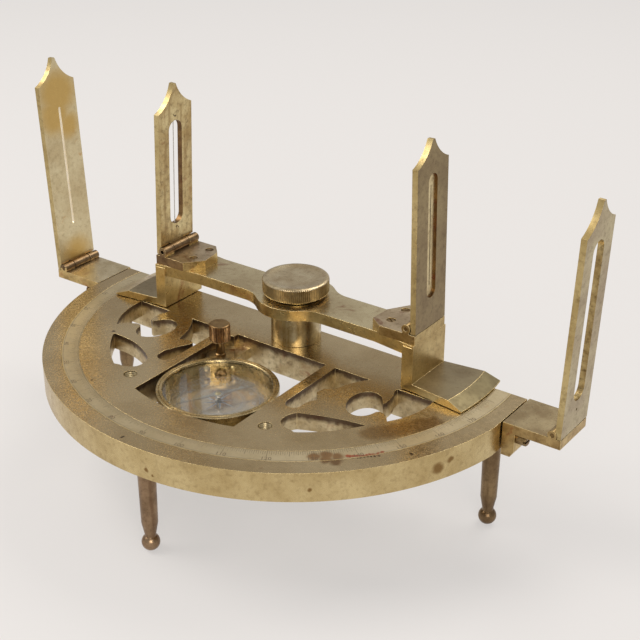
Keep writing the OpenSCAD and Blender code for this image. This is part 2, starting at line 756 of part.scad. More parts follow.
// Riser and bevelled foot of one arm, right-hand side
module foot_and_riser(reach) {
    riser_in = reach - riser_thickness;
    w = arm_end_half_width;
    outer = foot_reach + 5;
    wide = w + foot_flare * (outer - reach);
    translate([riser_in, -w, foot_low]) cube([riser_thickness, 2 * w, arm_top - foot_low - 1]);
    intersection() {
        rotate_extrude($fn = 360) polygon([[riser_in - 8, foot_low], [foot_reach, foot_low],
            [foot_reach, foot_low + foot_edge], [bevel_start, foot_low + foot_thickness],
            [riser_in - 8, foot_low + foot_thickness]]);
        linear_extrude(deck + 10) polygon([[riser_in, -w], [reach, -w], [outer, -wide],
            [outer, wide], [reach, w], [riser_in, w]]);
    }
}

module alidade_bridge() {
    color("#9d8a62") difference() {
        union() {
            translate([0, 0, arm_low]) linear_extrude(arm_thickness) arm_outline();
            foot_and_riser(arm_right);
            mirror([1, 0, 0]) foot_and_riser(arm_left);
        }
        translate([0, 0, arm_low - 1]) cylinder(h = arm_thickness + 2, r = spigot_radius + running_fit);
        for (x = [leaf_screw_inset - arm_left, arm_right - leaf_screw_inset], y = leaf_screw_ys)
            translate([x, y, arm_low - 1])
                cylinder(h = arm_thickness + 2, r = leaf_screw_radius + fixed_fit);
    }
}

// Hinge leaf: eight-sided plate with the two outer knuckles, right-hand side
module leaf(reach, length, tip, pin_x, slant) {
    w = leaf_half_width;
    inner = reach - length;
    difference() {
        union() {
            translate([0, 0, arm_top]) linear_extrude(leaf_thickness) polygon([[reach, -w], [reach, w],
                [inner + leaf_corner, w], [inner + slant, tip + leaf_tip_half],
                [inner - slant, tip - leaf_tip_half], [inner + leaf_corner, -w]]);
            translate([pin_x, 0, moving_pin_z]) outer_knuckles(w, moving_pin_height);
        }
        translate([pin_x, 0, moving_pin_z]) hinge_cuts(w);
        for (y = leaf_screw_ys) translate([reach - leaf_screw_inset, y, arm_top - 1]) {
            cylinder(h = leaf_thickness + 2, r = leaf_screw_radius + fixed_fit);
            translate([0, 0, leaf_thickness - 0.2]) cylinder(h = 3, r = leaf_screw_head + fixed_fit);
        }
    }
}

module leaf_left() {
    color("#a8966c") mirror([1, 0, 0]) leaf(arm_left, leaf_length_left, leaf_tip_left, object_pin_x, 0.6);
}

module leaf_right() {
    color("#a8966c") leaf(arm_right, leaf_length_right, leaf_tip_right, eye_pin_x, 0.2);
}

module leaf_screws() {
    seat = leaf_top - 1.2;
    xs = [leaf_screw_inset - arm_left, arm_right - leaf_screw_inset];
    color("#8d5f40") for (x = xs, y = leaf_screw_ys)
        translate([x, y, 0]) difference() {
            rotate_extrude() polygon([[0, arm_low - 1.2], [leaf_screw_radius - 0.2, arm_low - 1.2],
                [leaf_screw_radius, arm_low - 1], [leaf_screw_radius, seat], [leaf_screw_head, seat],
                [leaf_screw_head, seat + 0.8], [leaf_screw_head - 0.2, seat + 1], [0, seat + 1]]);
            rotate([0, 0, y > 0 ? 25 : -40]) translate([-3, -0.25, seat + 0.5]) cube([6, 0.5, 2]);
        }
}

// Sight plate outline in its own plane: first coordinate across, second up from the pin
module sight_outline(w, shoulder, tip, skew) {
    difference() {
        translate([-w, -3]) square([2 * w, tip + 3]);
        for (s = [-1, 1]) hollow_shoulder(s, [w, shoulder + s * skew / 2], [tip_half_width, tip]);
    }
}

// Circle through a shoulder p and the tip q, outside the plate
module hollow_shoulder(s, p, q) {
    c = norm(p - q);
    o = (p + q) / 2 - [p[1] - q[1], q[0] - p[0]] / c * sqrt(head_radius * head_radius - c * c / 4);
    translate([s * o[0], o[1]]) circle(head_radius, $fn = 180);
}

// Upright slot with round ends, from height a to height b
module upright_slot(width, a, b) {
    translate([-width / 2, a + width / 2]) square([width, b - a - width]);
    translate([0, a + width / 2]) circle(width / 2, $fn = 48);
    translate([0, b - width / 2]) circle(width / 2, $fn = 48);
}

// Stands a flat outline up on the sight's plate, from depth a to depth b behind its outer face
module on_plate(inset, a, b) {
    translate([inset - b, 0, 0]) rotate([90, 0, 90]) linear_extrude(b - a) children();
}

// Sight for the right-hand side, pin on the y axis, leaning outward; children are cut out of it
module sight(w, shoulder, tip, skew, base, inset, lean) {
    k = knuckle_half;
    difference() {
        union() {
            intersection() {
                rotate([0, lean, 0]) difference() {
                    on_plate(inset, 0, sight_thickness) sight_outline(w, shoulder - base, tip - base, skew);
                    for (s = [-1, 1]) translate([0, s * (w + k) / 2, 0]) rotate([90, 0, 0])
                        cylinder(h = w - k + e, r = recess_radius, center = true);
                }
                translate([-10, -w - 1, -base + moving_gap]) cube([40, 2 * w + 2, tip + 5]);
            }
            rotate([90, lean, 0]) linear_extrude(2 * k, center = true) union() {
                circle(knuckle_radius);
                square([inset - sight_thickness + 0.5, knuckle_radius]);
            }
        }
        rotate([90, 0, 0]) cylinder(h = 2 * w + 2, r = pin_radius + running_fit, center = true);
        rotate([0, lean, 0]) children();
    }
}

module on_left_alidade() {
    mirror([1, 0, 0]) translate([object_pin_x, 0, moving_pin_z]) children();
}

// Hair of the moving object sight in its plate's middle, or its bore
module hair_rod(r) {
    translate([object_pin_inset - sight_thickness / 2, 0, moving_window_low - 1.5 - moving_pin_height])
        cylinder(h = moving_window_high - moving_window_low + 3, r = r);
}

module sight_moving_object() {
    b = moving_pin_height;
    color("#a89a74") on_left_alidade()
        sight(moving_object_half_width, moving_object_shoulder, moving_object_tip, moving_object_skew,
            b, object_pin_inset, moving_object_lean) {
            on_plate(object_pin_inset, -1, sight_thickness + 1)
                upright_slot(moving_window_width, moving_window_low - b, moving_window_high - b);
            hair_rod(hair_radius + fixed_fit);
        }
}

module sight_hair() {
    color("#4a4034") on_left_alidade() rotate([0, moving_object_lean, 0]) hair_rod(hair_radius);
}

module sight_moving_eye() {
    b = moving_pin_height;
    low = moving_recess_low + recess_margin;
    color("#a0906a") translate([eye_pin_x, 0, moving_pin_z])
        sight(moving_eye_half_width, moving_eye_shoulder, moving_eye_tip, 0,
            b, eye_pin_inset, moving_eye_lean) {
            on_plate(eye_pin_inset, -1, recess_depth)
                upright_slot(recess_width, moving_recess_low - b, moving_recess_high - b);
            on_plate(eye_pin_inset, -1, sight_thickness + 1) translate([-moving_slit / 2, low - b])
                square([moving_slit, moving_recess_high - recess_margin - low]);
        }
}

module sight_fixed_eye() {
    b = fixed_pin_height;
    color("#a08a5c") mirror([1, 0, 0]) translate([fixed_left_x, 0, fixed_pin_z])
        sight(fixed_eye_half_width, fixed_eye_shoulder, fixed_eye_tip, 0,
            b, fixed_pin_inset, fixed_eye_lean) {
            on_plate(fixed_pin_inset, -1, recess_depth) upright_slot(recess_width,
                fixed_slit_low - recess_margin - b, fixed_slit_high + recess_margin - b);
            on_plate(fixed_pin_inset, -1, sight_thickness + 1)
                upright_slot(fixed_slit, fixed_slit_low - b, fixed_slit_high - b);
        }
}

module sight_fixed_object() {
    b = fixed_pin_height;
    color("#a89a74") translate([fixed_right_x, 0, fixed_pin_z])
        sight(fixed_object_half_width, fixed_object_shoulder, fixed_object_tip, fixed_object_skew,
            b, fixed_pin_inset, fixed_object_lean) {
            on_plate(fixed_pin_inset, -1, sight_thickness + 1)
                upright_slot(fixed_window_width, fixed_window_low - b, fixed_window_high - b);
            translate([fixed_pin_inset - sight_thickness - 1, 0, hair_hole_height - b]) rotate([0, 90, 0])
                cylinder(h = sight_thickness + 2, r = 0.5);
        }
}

module knob_washer() {
    color("#7f6f50") translate([0, 0, washer_low]) difference() {
        cylinder(h = washer_thickness, r = washer_radius);
        translate([0, 0, -1]) cylinder(h = 4, r = stud_radius + running_fit);
    }
}

module clamp_knob() {
    color("#a5967a") rotate_extrude() polygon([[stud_radius + running_fit, knob_low],
        [knob_radius - 0.5, knob_low], [knob_radius, knob_low + 0.5], [knob_radius, knob_top - 0.6],
        [knob_radius - 0.9, knob_top], [knob_radius - 2, knob_top], [knob_radius - 3, knob_top - 0.35],
        [0, knob_top - 0.35], [0, knob_top - knob_plate],
        [stud_radius + running_fit, knob_top - knob_plate]]);
}

limb_plate();
scale_band();
pivot_boss();
pivot_stud();
bracket_left();
bracket_right();
bracket_screws();
fixed_pin_left();
fixed_pin_right();
leg_front();
leg_left();
leg_right();
compass_drum();
compass_bezel();
compass_glass();
compass_dial();
needle_post();
compass_bracket();
compass_rivets();
compass_screw();
thumb_screw();
needle();
needle_cap();
alidade_bridge();
leaf_left();
leaf_right();
leaf_screws();
alidade_pin_left();
alidade_pin_right();
knob_washer();
clamp_knob();
sight_fixed_eye();
sight_fixed_object();
sight_moving_object();
sight_hair();
sight_moving_eye();
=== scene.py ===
"""Looks of a brass graphometer: worn castings, knurled knobs, divided band, compass rose and glass.

Lengths are in millimetres until they enter a mesh, a modifier or a shader, where MM makes them metres."""
import json
import math

import bmesh
import bpy
import numpy as np
from mathutils import Matrix, Vector


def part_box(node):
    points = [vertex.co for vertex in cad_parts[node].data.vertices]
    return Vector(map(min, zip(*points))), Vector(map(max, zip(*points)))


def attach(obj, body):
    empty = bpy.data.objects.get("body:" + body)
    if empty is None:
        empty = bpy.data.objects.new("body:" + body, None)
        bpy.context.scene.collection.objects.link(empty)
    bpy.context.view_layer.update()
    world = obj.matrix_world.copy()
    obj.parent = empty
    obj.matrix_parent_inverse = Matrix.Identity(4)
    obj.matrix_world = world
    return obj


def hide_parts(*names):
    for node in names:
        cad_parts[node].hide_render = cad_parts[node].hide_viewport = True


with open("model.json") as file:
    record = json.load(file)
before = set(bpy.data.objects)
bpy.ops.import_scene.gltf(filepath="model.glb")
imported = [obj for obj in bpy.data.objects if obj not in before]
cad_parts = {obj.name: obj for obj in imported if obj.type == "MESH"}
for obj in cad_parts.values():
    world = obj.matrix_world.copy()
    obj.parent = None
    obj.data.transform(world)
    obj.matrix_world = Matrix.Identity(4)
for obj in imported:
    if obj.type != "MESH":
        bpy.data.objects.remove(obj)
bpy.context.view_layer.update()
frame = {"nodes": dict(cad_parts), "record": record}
scene = bpy.context.scene
scene.view_settings.view_transform = "Standard"
MM = 0.001

# Places and names taken from the frame


def box_mm(node):
    """Lowest and highest corner of a node, in millimetres."""
    low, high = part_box(node)
    return np.array(low) / MM, np.array(high) / MM


def middle(node):
    """Centre of a node's box."""
    low, high = box_mm(node)
    return (low + high) / 2


LIMB_TOP = box_mm("limb_plate")[1][2]
LIMB_RADIUS = -box_mm("limb_plate")[0][1]
BAR_BACK = box_mm("limb_plate")[1][1]
FLOOR = box_mm("leg_front")[0][2]
BAND_OUTER = -box_mm("scale_band")[0][1]
BAND_WIDTH = 6.7
BAND_INNER = BAND_OUTER - BAND_WIDTH
DIAL_CENTRE = (0.0, middle("compass_dial")[1])
DIAL_TOP = box_mm("compass_dial")[1][2]
BODY_OF = {node: body for body, nodes in frame["record"]["behaviour"]["bodies"].items() for node in nodes}
SLOT_OF = {part["node"]: part["material_slot"] for part in frame["record"]["subparts"]}

# Small tools


def hex_colour(code):
    """sRGB hex to linear: each channel is c/12.92 below 0.04045, else ((c + 0.055)/1.055)^2.4."""
    channel = np.array([int(code[i:i + 2], 16) / 255 for i in (1, 3, 5)])
    linear = np.where(channel <= 0.04045, channel / 12.92, ((channel + 0.055) / 1.055) ** 2.4)
    return (*linear.tolist(), 1.0)


def add(tree, kind, links=None, **settings):
    """Adds one node. A setting names a property, an input (_ for a space), or i and an input's place; links
    give the socket that feeds each input."""
    node = tree.nodes.new(kind)
    for key, value in settings.items():
        if hasattr(node, key):
            setattr(node, key, value)
        else:
            by_place = key[0] == "i" and key[1:].isdigit()
            node.inputs[int(key[1:]) if by_place else key.replace("_", " ")].default_value = value
    for key, socket in (links or {}).items():
        tree.links.new(socket, node.inputs[key])
    return node


def new_material(name):
    """An empty material and its node tree."""
    material = bpy.data.materials.new(name)
    material.use_nodes = True
    material.node_tree.nodes.clear()
    return material, material.node_tree


def mark_sharp(edges, degrees):
    """Shading breaks at edges that turn more than this, and at open ones."""
    for edge in edges:
        edge.smooth = len(edge.link_faces) == 2 and edge.calc_face_angle(0) < math.radians(degrees)


def linked_object(name, data):
    """An object for a mesh, curve, lamp or camera, put in the scene."""
    obj = bpy.data.objects.new(name, data)
    scene.collection.objects.link(obj)
    return obj


def finished(name, mesh, body, slot, smooth_angle):
    """Merges doubles, turns faces outward, marks the sharp edges, and gives the piece its body. The slot is not
    used.
    """
    shape = bmesh.new()
    shape.from_mesh(mesh)
    bmesh.ops.remove_doubles(shape, verts=shape.verts, dist=1e-6)
    bmesh.ops.recalc_face_normals(shape, faces=shape.faces)
    for face in shape.faces:
        face.smooth = True
    mark_sharp(shape.edges, smooth_angle)
    shape.to_mesh(mesh)
    shape.free()
    obj = linked_object(name, mesh)
    if body:
        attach(obj, body)
    return obj


def mesh_object(name, verts, faces, look, body=None, slot=None, smooth_angle=35):
    """A piece from an array of points and a list of faces."""
    mesh = bpy.data.meshes.new(name)
    mesh.from_pydata((np.asarray(verts, float) * MM).tolist(), [], faces)
    mesh.materials.append(look)
    return finished(name, mesh, body, slot, smooth_angle)


def full_turn(steps):
    """Angles of points spaced evenly round a circle."""
    return np.arange(steps) * 2 * math.pi / steps


def tube_faces(rings, sides, joined=False):
    """Four-sided faces between neighbouring rings of points. The last ring joins the first, or else a face
    closes each end."""
    i, j = np.meshgrid(np.arange(rings if joined else rings - 1), np.arange(sides), indexing="ij")
    m, k = (i + 1) % rings, (j + 1) % sides
    corners = [i * sides + j, i * sides + k, m * sides + k, m * sides + j]
    faces = np.stack(corners, axis=2).reshape(-1, 4).tolist()
    if not joined:
        faces += [list(range(sides))[::-1], list(range((rings - 1) * sides, rings * sides))]
    return faces


# Materials: every brass starts from one recipe. First the patterns' sizes in millimetres, then where each
# starts and is full on the noise's scale of 0 to 1.

SPECK_MM = 1.923
RUN_MM = 2.632
BLUSH_MM = 10.53
FILE_MARK_MM = 0.6667  # real file marks are finer, these are as coarse as they need to be to show
STAIN_EDGE_MM = 3.03
STAIN_WANDER_MM = 2.4
LIP_WANDER_MM = 2.5
CLOUD_SPAN = (0.38, 0.62)
SPECK_SPAN = (0.50, 0.74)
RUN_SPAN = (0.48, 0.68)
BLUSH_SPAN = (0.66, 0.76)
PITTED_SPAN = (0.46, 0.60)
GLOSS_SPAN = (0.30, 0.70)
PIT_RADIUS = 0.28  # as a share of the pits' spacing
RUN_SQUEEZE = (1.0, 1.0, 0.12)  # less upright change makes the runs long
RUN_STRENGTH, BLUSH_STRENGTH, LIP_STRENGTH = 0.7, 0.8, 0.85
POLISHED_BY, DULLED_BY = 0.06, 0.10
RELIEF = 0.35


def laid_over(tree, base, layers):
    """A base colour with further colours laid over it in turn, each through its own mask."""
    under, links = {"i6": hex_colour(base)}, {}
    for mask, colour in layers:
        mix = add(tree, "ShaderNodeMix", {0: mask, **links}, data_type="RGBA", i7=hex_colour(colour), **under)
        under, links = {}, {6: mix.outputs[2]}
    return mix.outputs[2]


def stain_mask(tree, coords, spots):
    """Highest of round soft marks, each 1 near its centre and 0 at its radius, their edges broken by noise."""
    wander = STAIN_WANDER_MM * MM
    noise = add(tree, "ShaderNodeTexNoise", {"Vector": coords}, Scale=1000 / STAIN_EDGE_MM, Detail=5.0)
    ragged = add(tree, "ShaderNodeVectorMath", {0: noise.outputs["Color"]}, operation="MULTIPLY_ADD",
                 i1=(wander,) * 3, i2=(-wander / 2,) * 3)
    moved = add(tree, "ShaderNodeVectorMath", {0: coords, 1: ragged.outputs[0]}, operation="ADD")
    highest = None
    for x, y, z, radius in spots:
        away = add(tree, "ShaderNodeVectorMath", {0: moved.outputs[0]}, operation="DISTANCE",
                   i1=(x * MM, y * MM, z * MM))
        mark = add(tree, "ShaderNodeMapRange", {0: away.outputs["Value"]}, interpolation_type="SMOOTHSTEP",
                   i1=radius * MM, i2=radius * MM * 0.4, i3=0.0, i4=1.0).outputs[0]
        if highest is None:
            highest = mark
        else:
            highest = add(tree, "ShaderNodeMath", {0: highest, 1: mark}, operation="MAXIMUM").outputs[0]
    return highest


def aged_brass(name, bright, dull, dark, rough=0.28, tarnish_mm=22, speck=0.5, blush=None, blush_share=0.0,
               grain=(1, 1, 1), grain_depth=0.012, stains=(), pits=0.0, pit_mm=2.4, lip=None, streaks=None):
    """Cast brass that was filed and polished long ago: clouds of tarnish from bright to dull, dark specks.

    blush is a copper tone where the zinc has gone, blush_share moves how much of it shows, grain squeezes the
    file marks along x, y and z, stains are (colour, places), pits is how deep the casting's holes are, lip is a
    band of colour below an edge as (low, high, colour), and streaks is the colour of fine upright runs."""
    material, tree = new_material(name)
    coords = add(tree, "ShaderNodeTexCoord").outputs["Object"]
    clouds = add(tree, "ShaderNodeTexNoise", {"Vector": coords}, Scale=1000 / tarnish_mm, Detail=5.0,
                 Roughness=0.62)
    cloud = add(tree, "ShaderNodeMapRange", {0: clouds.outputs[0]}, i1=CLOUD_SPAN[0], i2=CLOUD_SPAN[1])
    mottle = add(tree, "ShaderNodeTexNoise", {"Vector": coords}, Scale=1000 / SPECK_MM, Detail=6.0,
                 Roughness=0.7).outputs[0]
    mottled = add(tree, "ShaderNodeMapRange", {0: mottle}, i1=SPECK_SPAN[0], i2=SPECK_SPAN[1], i3=0.0, i4=speck)
    layers = [(cloud.outputs[0], dull), (mottled.outputs[0], dark)]
    if streaks:
        upright = add(tree, "ShaderNodeMapping", {"Vector": coords}, Scale=RUN_SQUEEZE)
        runs = add(tree, "ShaderNodeTexNoise", {"Vector": upright.outputs[0]}, Scale=1000 / RUN_MM, Detail=4.0,
                   Roughness=0.6)
        run = add(tree, "ShaderNodeMapRange", {0: runs.outputs[0]}, i1=RUN_SPAN[0], i2=RUN_SPAN[1], i3=0.0,
                  i4=RUN_STRENGTH)
        layers.append((run.outputs[0], streaks))
    if blush:
        patches = add(tree, "ShaderNodeTexNoise", {"Vector": coords}, Scale=1000 / BLUSH_MM, Detail=5.0,
                      Roughness=0.6, Distortion=0.6)
        red = add(tree, "ShaderNodeMapRange", {0: patches.outputs[0]}, i1=BLUSH_SPAN[0] - blush_share,
                  i2=BLUSH_SPAN[1] - blush_share, i3=0.0, i4=BLUSH_STRENGTH)
        layers.append((red.outputs[0], blush))
    if lip:
        height = add(tree, "ShaderNodeSeparateXYZ", {0: coords}).outputs[2]
        wavy = add(tree, "ShaderNodeMath", {0: mottle, 2: height}, operation="MULTIPLY_ADD",
                   i1=LIP_WANDER_MM * MM)
        shade = add(tree, "ShaderNodeMapRange", {0: wavy.outputs[0]}, i1=lip[0] * MM, i2=lip[1] * MM, i3=0.0,
                    i4=LIP_STRENGTH)
        layers.append((shade.outputs[0], lip[2]))
    layers += [(stain_mask(tree, coords, spots), stain) for stain, spots in stains]
    stretched = add(tree, "ShaderNodeMapping", {"Vector": coords}, Scale=grain)
    relief = add(tree, "ShaderNodeTexNoise", {"Vector": stretched.outputs[0]}, Scale=1000 / FILE_MARK_MM,
                 Detail=3.0, Roughness=0.55).outputs[0]
    if pits:
        dents = add(tree, "ShaderNodeTexVoronoi", {"Vector": coords}, Scale=1000 / pit_mm, Randomness=1.0)
        hole = add(tree, "ShaderNodeMapRange", {0: dents.outputs["Distance"]}, i1=0.0, i2=PIT_RADIUS, i3=-pits,
                   i4=0.0)
        where = add(tree, "ShaderNodeMapRange", {0: mottle}, i1=PITTED_SPAN[0], i2=PITTED_SPAN[1])
        deep = add(tree, "ShaderNodeMath", {0: hole.outputs[0], 1: where.outputs[0]}, operation="MULTIPLY")
        relief = add(tree, "ShaderNodeMath", {0: relief, 1: deep.outputs[0]}, operation="ADD").outputs[0]
    bump = add(tree, "ShaderNodeBump", {"Height": relief}, Strength=RELIEF, Distance=grain_depth * MM)
    gloss = add(tree, "ShaderNodeMapRange", {0: mottle}, i1=GLOSS_SPAN[0], i2=GLOSS_SPAN[1],
                i3=rough - POLISHED_BY, i4=rough + DULLED_BY)
    links = {"Base Color": laid_over(tree, bright, layers), "Roughness": gloss.outputs[0],
             "Normal": bump.outputs[0]}
    surface = add(tree, "ShaderNodeBsdfPrincipled", links, Metallic=1.0)
    add(tree, "ShaderNodeOutputMaterial", {0: surface.outputs[0]})
    return material


def on_top(points, radius):
    """Stain places on the limb's top."""
    return [(x, y, LIMB_TOP, radius) for x, y in points]


def scratch(x, y, count):
    """Places about a millimetre apart along a mark that bends with the band."""
    return [(x + 0.84 * i, y + 0.4 * i + 0.047 * i * i) for i in range(count)]


# Stains seen in the photograph, as (colour, places)
RED_STREAK = ("#a2563c", on_top(scratch(67, -61.2, 11), 1.0))
DARK_LINE = ("#54402c", on_top(scratch(68, -62, 10), 0.7))
MOTTLED = ("#8a6c4a", on_top([(60.8, -65.1), (62.6, -67.5), (66, -66.7), (64.5, -63.5), (58.2, -68.3)], 3.2))
PATINA = ("#96794f", on_top([(66, -44), (69.1, -40.5), (71.4, -37), (73.6, -33), (76.6, -29.2), (80, -26)],
                            6.5))
SMALL_SPOTS = ("#4b3829", on_top([(-3.3, -97.2), (-40.5, -73.9), (84.2, -47.5), (33.7, -63.8), (-62, -40)],
                                 0.9))
RIM_SPOTS = ("#86693f", [(9.1, -99.6, 4, 1.1), (11.6, -99.3, 2.5, 0.8), (63, -77.6, 5, 1.2),
                         (91.2, -41, 5, 3.2), (93.2, -36.2, 7, 2), (-70, -71.4, 6, 1.4)])

# Brass rubbed by hands and cloths along its edges: the palest tone, a bright line round each piece that is
# partly real wear and partly a painted highlight
edge_wear_and_highlight = aged_brass("rubbed_edge_and_highlight_brass", "#dcc796", "#bfa670", "#8d7046", rough=0.30, tarnish_mm=6,
                        speck=0.3, grain_depth=0.003)
# Cast brass planed and polished flat: a calm satin mirror, olive to brown in wide clouds, with old stains
limb_top = aged_brass("polished_limb_brass", "#c6b18a", "#b29b73", "#765f42", rough=0.24, tarnish_mm=38,
                      speck=0.12, blush="#8f6a45", blush_share=-0.01, grain=(0.25, 1, 1), grain_depth=0.002,
                      stains=(PATINA, MOTTLED, SMALL_SPOTS, RED_STREAK, DARK_LINE))
# Sand-cast walls of the openings, never filed: rough and pitted, darker in a band just below the top
cast_wall = aged_brass("rough_cast_brass", "#dccca6", "#b5a078", "#5e4632", rough=0.42, tarnish_mm=7, speck=0.7,
                       blush="#9a6a48", blush_share=0.05, grain_depth=0.05, pits=1.0, pit_mm=1.6,
                       lip=(LIMB_TOP - 2.0, LIMB_TOP - 0.2, "#4a352b"))
# Rim filed along its curve: golden, with long file marks, casting pits and a few brown spots. Its gold is paler
# than the top's, partly a painted reflection of the pale floor and the front light
rim_brass_painted_sheen = aged_brass("filed_rim_brass_painted_sheen", "#d0bb8a", "#b9a272", "#826a46", rough=0.27, tarnish_mm=16, speck=0.5,
                       grain=(1, 1, 0.3), pits=1.0, pit_mm=2.0, stains=(RIM_SPOTS,))
# Brass rubbed with silvering salts, half worn off: paler and duller than the limb, copper showing in places
band_silver = aged_brass("silvered_band", "#c6b796", "#b9a986", "#8a7a5a", rough=0.40, tarnish_mm=14, speck=0.4,
                         blush="#a3704c", blush_share=-0.03, stains=(RED_STREAK, MOTTLED))
# Brass turned on a lathe: fine rings round the column and soft upright runs of tarnish
turned_brass = aged_brass("turned_brass", "#cbbe9a", "#ab9a76", "#665236", rough=0.30, tarnish_mm=9,
                          grain=(0.3, 0.3, 5), streaks="#98804f", pits=0.4)
# Turned mild steel inside the boss and under the needle: grey, a little browned
steel = aged_brass("turned_steel", "#8d8b88", "#77736c", "#4b4641", rough=0.32)
# Filed brass plate of the right bracket: brown clouds and copper blush, marks along its length
bracket_top = aged_brass("bracket_plate_brass", "#b4a27d", "#968260", "#5c452d", rough=0.30, tarnish_mm=12,
                         speck=0.6, blush="#8f6344", blush_share=0.07, grain=(1, 0.2, 1), pits=0.8)
# The left bracket's plate, less tarnished: brighter
bracket_top_left = aged_brass("left_bracket_plate_brass", "#dccdab", "#c0ad86", "#735a3c", rough=0.30,
                              tarnish_mm=12, speck=0.4, blush="#9a6c4a", blush_share=0.04, grain=(1, 0.2, 1),
                              pits=0.8)
# Sawn and filed sides of the brackets: golden with small dark pits
bracket_side = aged_brass("bracket_side_brass", "#ccb27a", "#ab8f5b", "#5c4529", rough=0.32, tarnish_mm=9,
                          speck=0.6, blush="#9c6240", blush_share=0.04, pits=0.9)
# Hinge leaves, touched often and oiled: reddish brown and mottled
leaf_top = aged_brass("hinge_leaf_brass", "#c8b494", "#ab9677", "#54402e", rough=0.33, tarnish_mm=9, speck=0.7,
                      blush="#7d4f36", blush_share=0.08, pits=0.8)
# Screws with grime in their slots: dark brown
screw_brass = aged_brass("screw_brass", "#97805a", "#765f42", "#3f2e21", rough=0.36, tarnish_mm=4, speck=0.7,
                         blush="#8f5c40", blush_share=0.05)
# Hinge pins, black with old oil
pin_brass = aged_brass("pin_brass", "#7f6742", "#654e32", "#33261a", rough=0.4, tarnish_mm=5)
# Turned legs, long unpolished: rosy brown in front, olive brown behind, with upright runs
leg_front = aged_brass("front_leg_brass", "#a78b6e", "#866e54", "#4c392a", rough=0.30, tarnish_mm=10, speck=0.6,
                       streaks="#6a4f3a")
leg_side = aged_brass("side_leg_brass", "#957d5c", "#786248", "#463524", rough=0.30, tarnish_mm=10, speck=0.6,
                      streaks="#5f4a33")
# Compass drum, turned: olive, a soft mirror with faint upright runs
drum_brass = aged_brass("drum_brass", "#ab9768", "#8f7b52", "#57432b", rough=0.27, tarnish_mm=9, pits=0.4,
                        streaks="#7a683f")
# Bezel, turned and burnished: the glossiest brass
bezel_brass = aged_brass("bezel_brass", "#c4b188", "#a79368", "#65502f", rough=0.24, tarnish_mm=8, speck=0.45)
# Thumb screw: brown on the head, duller and redder between the ridges of its grip
thumb_brass = aged_brass("thumb_screw_brass", "#9c8259", "#7d6340", "#4a3421", rough=0.33, tarnish_mm=5,
                         blush="#a5745a", blush_share=0.04)
thumb_grip = aged_brass("thumb_screw_grip_brass", "#a17f58", "#7b5d3f", "#402b1d", rough=0.40, tarnish_mm=3,
                        speck=0.8)
# Clamp knob: a polished, rosy top and a duller grip that holds dirt
knob_brass = aged_brass("knob_brass", "#d0c09e", "#b5a07c", "#6d563b", rough=0.28, tarnish_mm=7, speck=0.6,
                        blush="#a08064", blush_share=0.04, grain_depth=0.005)
knob_grip = aged_brass("knob_grip_brass", "#a5926a", "#8b7650", "#4b3826", rough=0.42, tarnish_mm=6, speck=0.7)
# The alidade's arm: polished along its length on top, filed and pitted on its sides
arm_top = aged_brass("polished_arm_brass", "#dacaa2", "#bfab84", "#6b5334", rough=0.25, tarnish_mm=24,
                     blush="#8f6040", blush_share=0.04, grain=(0.2, 1, 1), pits=0.5)
arm_side = aged_brass("filed_arm_brass", "#cbb57f", "#ad9460", "#5e4528", rough=0.30, tarnish_mm=14, speck=0.55,
                      blush="#8a5836", blush_share=0.04, pits=0.7)
# Vernier feet: dull olive flats, and a bevel whose silvering has gone grey
foot_top = aged_brass("vernier_foot_brass", "#998b6d", "#86775b", "#5b4c35", rough=0.36, tarnish_mm=14,
                      grain=(0.2, 1, 1))
foot_bevel = aged_brass("vernier_bevel_silvered", "#746a4e", "#655b42", "#4e422f", rough=0.38, tarnish_mm=12,
                        speck=0.4)
# Knuckles of the hinges: worn round and full of old oil on the left, cleaner and golden on the right
knuckle_left = aged_brass("left_knuckle_brass", "#877052", "#6b563f", "#3f2e22", rough=0.34, tarnish_mm=5,
                          speck=0.7, blush="#875a44", blush_share=0.02)
knuckle_right = aged_brass("right_knuckle_brass", "#b79c6a", "#957a4e", "#523c28", rough=0.32, tarnish_mm=5,
                           speck=0.7, blush="#96603f", blush_share=0.06)


def sight_brass(name, bright, dull, dark, **more):
    """Sight plates: one finish, draw-filed upright, with its own age on each."""
    usual = {"rough": 0.30, "tarnish_mm": 18, "speck": 0.55, "pits": 0.5, "grain": (1, 1, 0.15)}
    return aged_brass(name, bright, dull, dark, **{**usual, **more})


FACE_LEAN = 0.25  # how far the outer face's foot stands in from its head, as a share of the box's depth


def on_face(node, points):
    """Stain places on a sight's outer face, from (share of the width, share of the height, radius)."""
    low, high = box_mm(node)
    outer, inner = (high[0], low[0]) if low[0] > 0 else (low[0], high[0])
    lean = (outer - inner) * FACE_LEAN
    return [(outer - lean * (1 - v), low[1] + u * (high[1] - low[1]), low[2] + v * (high[2] - low[2]), radius)
            for u, v, radius in points]


GOLD_CLOUDS = ("#c6a666", on_face("sight_fixed_eye", [(0.5, 0.84, 14), (0.35, 0.74, 12), (0.7, 0.68, 9),
                                                      (0.5, 0.06, 12)]))
DARK_SPOTS = ("#4f3a28", on_face("sight_fixed_eye", [(0.87, 0.77, 0.8), (0.75, 0.25, 0.7), (0.15, 0.22, 1.1),
                                                     (0.1, 0.33, 0.8)]))
# Two small bright scars, painted as pale as the glint of light on them
PALE_SCARS_AND_GLINTS = ("#efe3cf", on_face("sight_fixed_eye", [(0.3, 0.66, 1.1), (0.22, 0.67, 0.7)]))
# Left end's sight, the best kept: pale straw with gold clouds and single spots
fixed_eye_brass = sight_brass("fixed_eye_sight_brass", "#d8caa4", "#c6b48c", "#7d6340", speck=0.35,
                              blush="#bb8a50", blush_share=0.04, stains=(GOLD_CLOUDS, DARK_SPOTS, PALE_SCARS_AND_GLINTS))
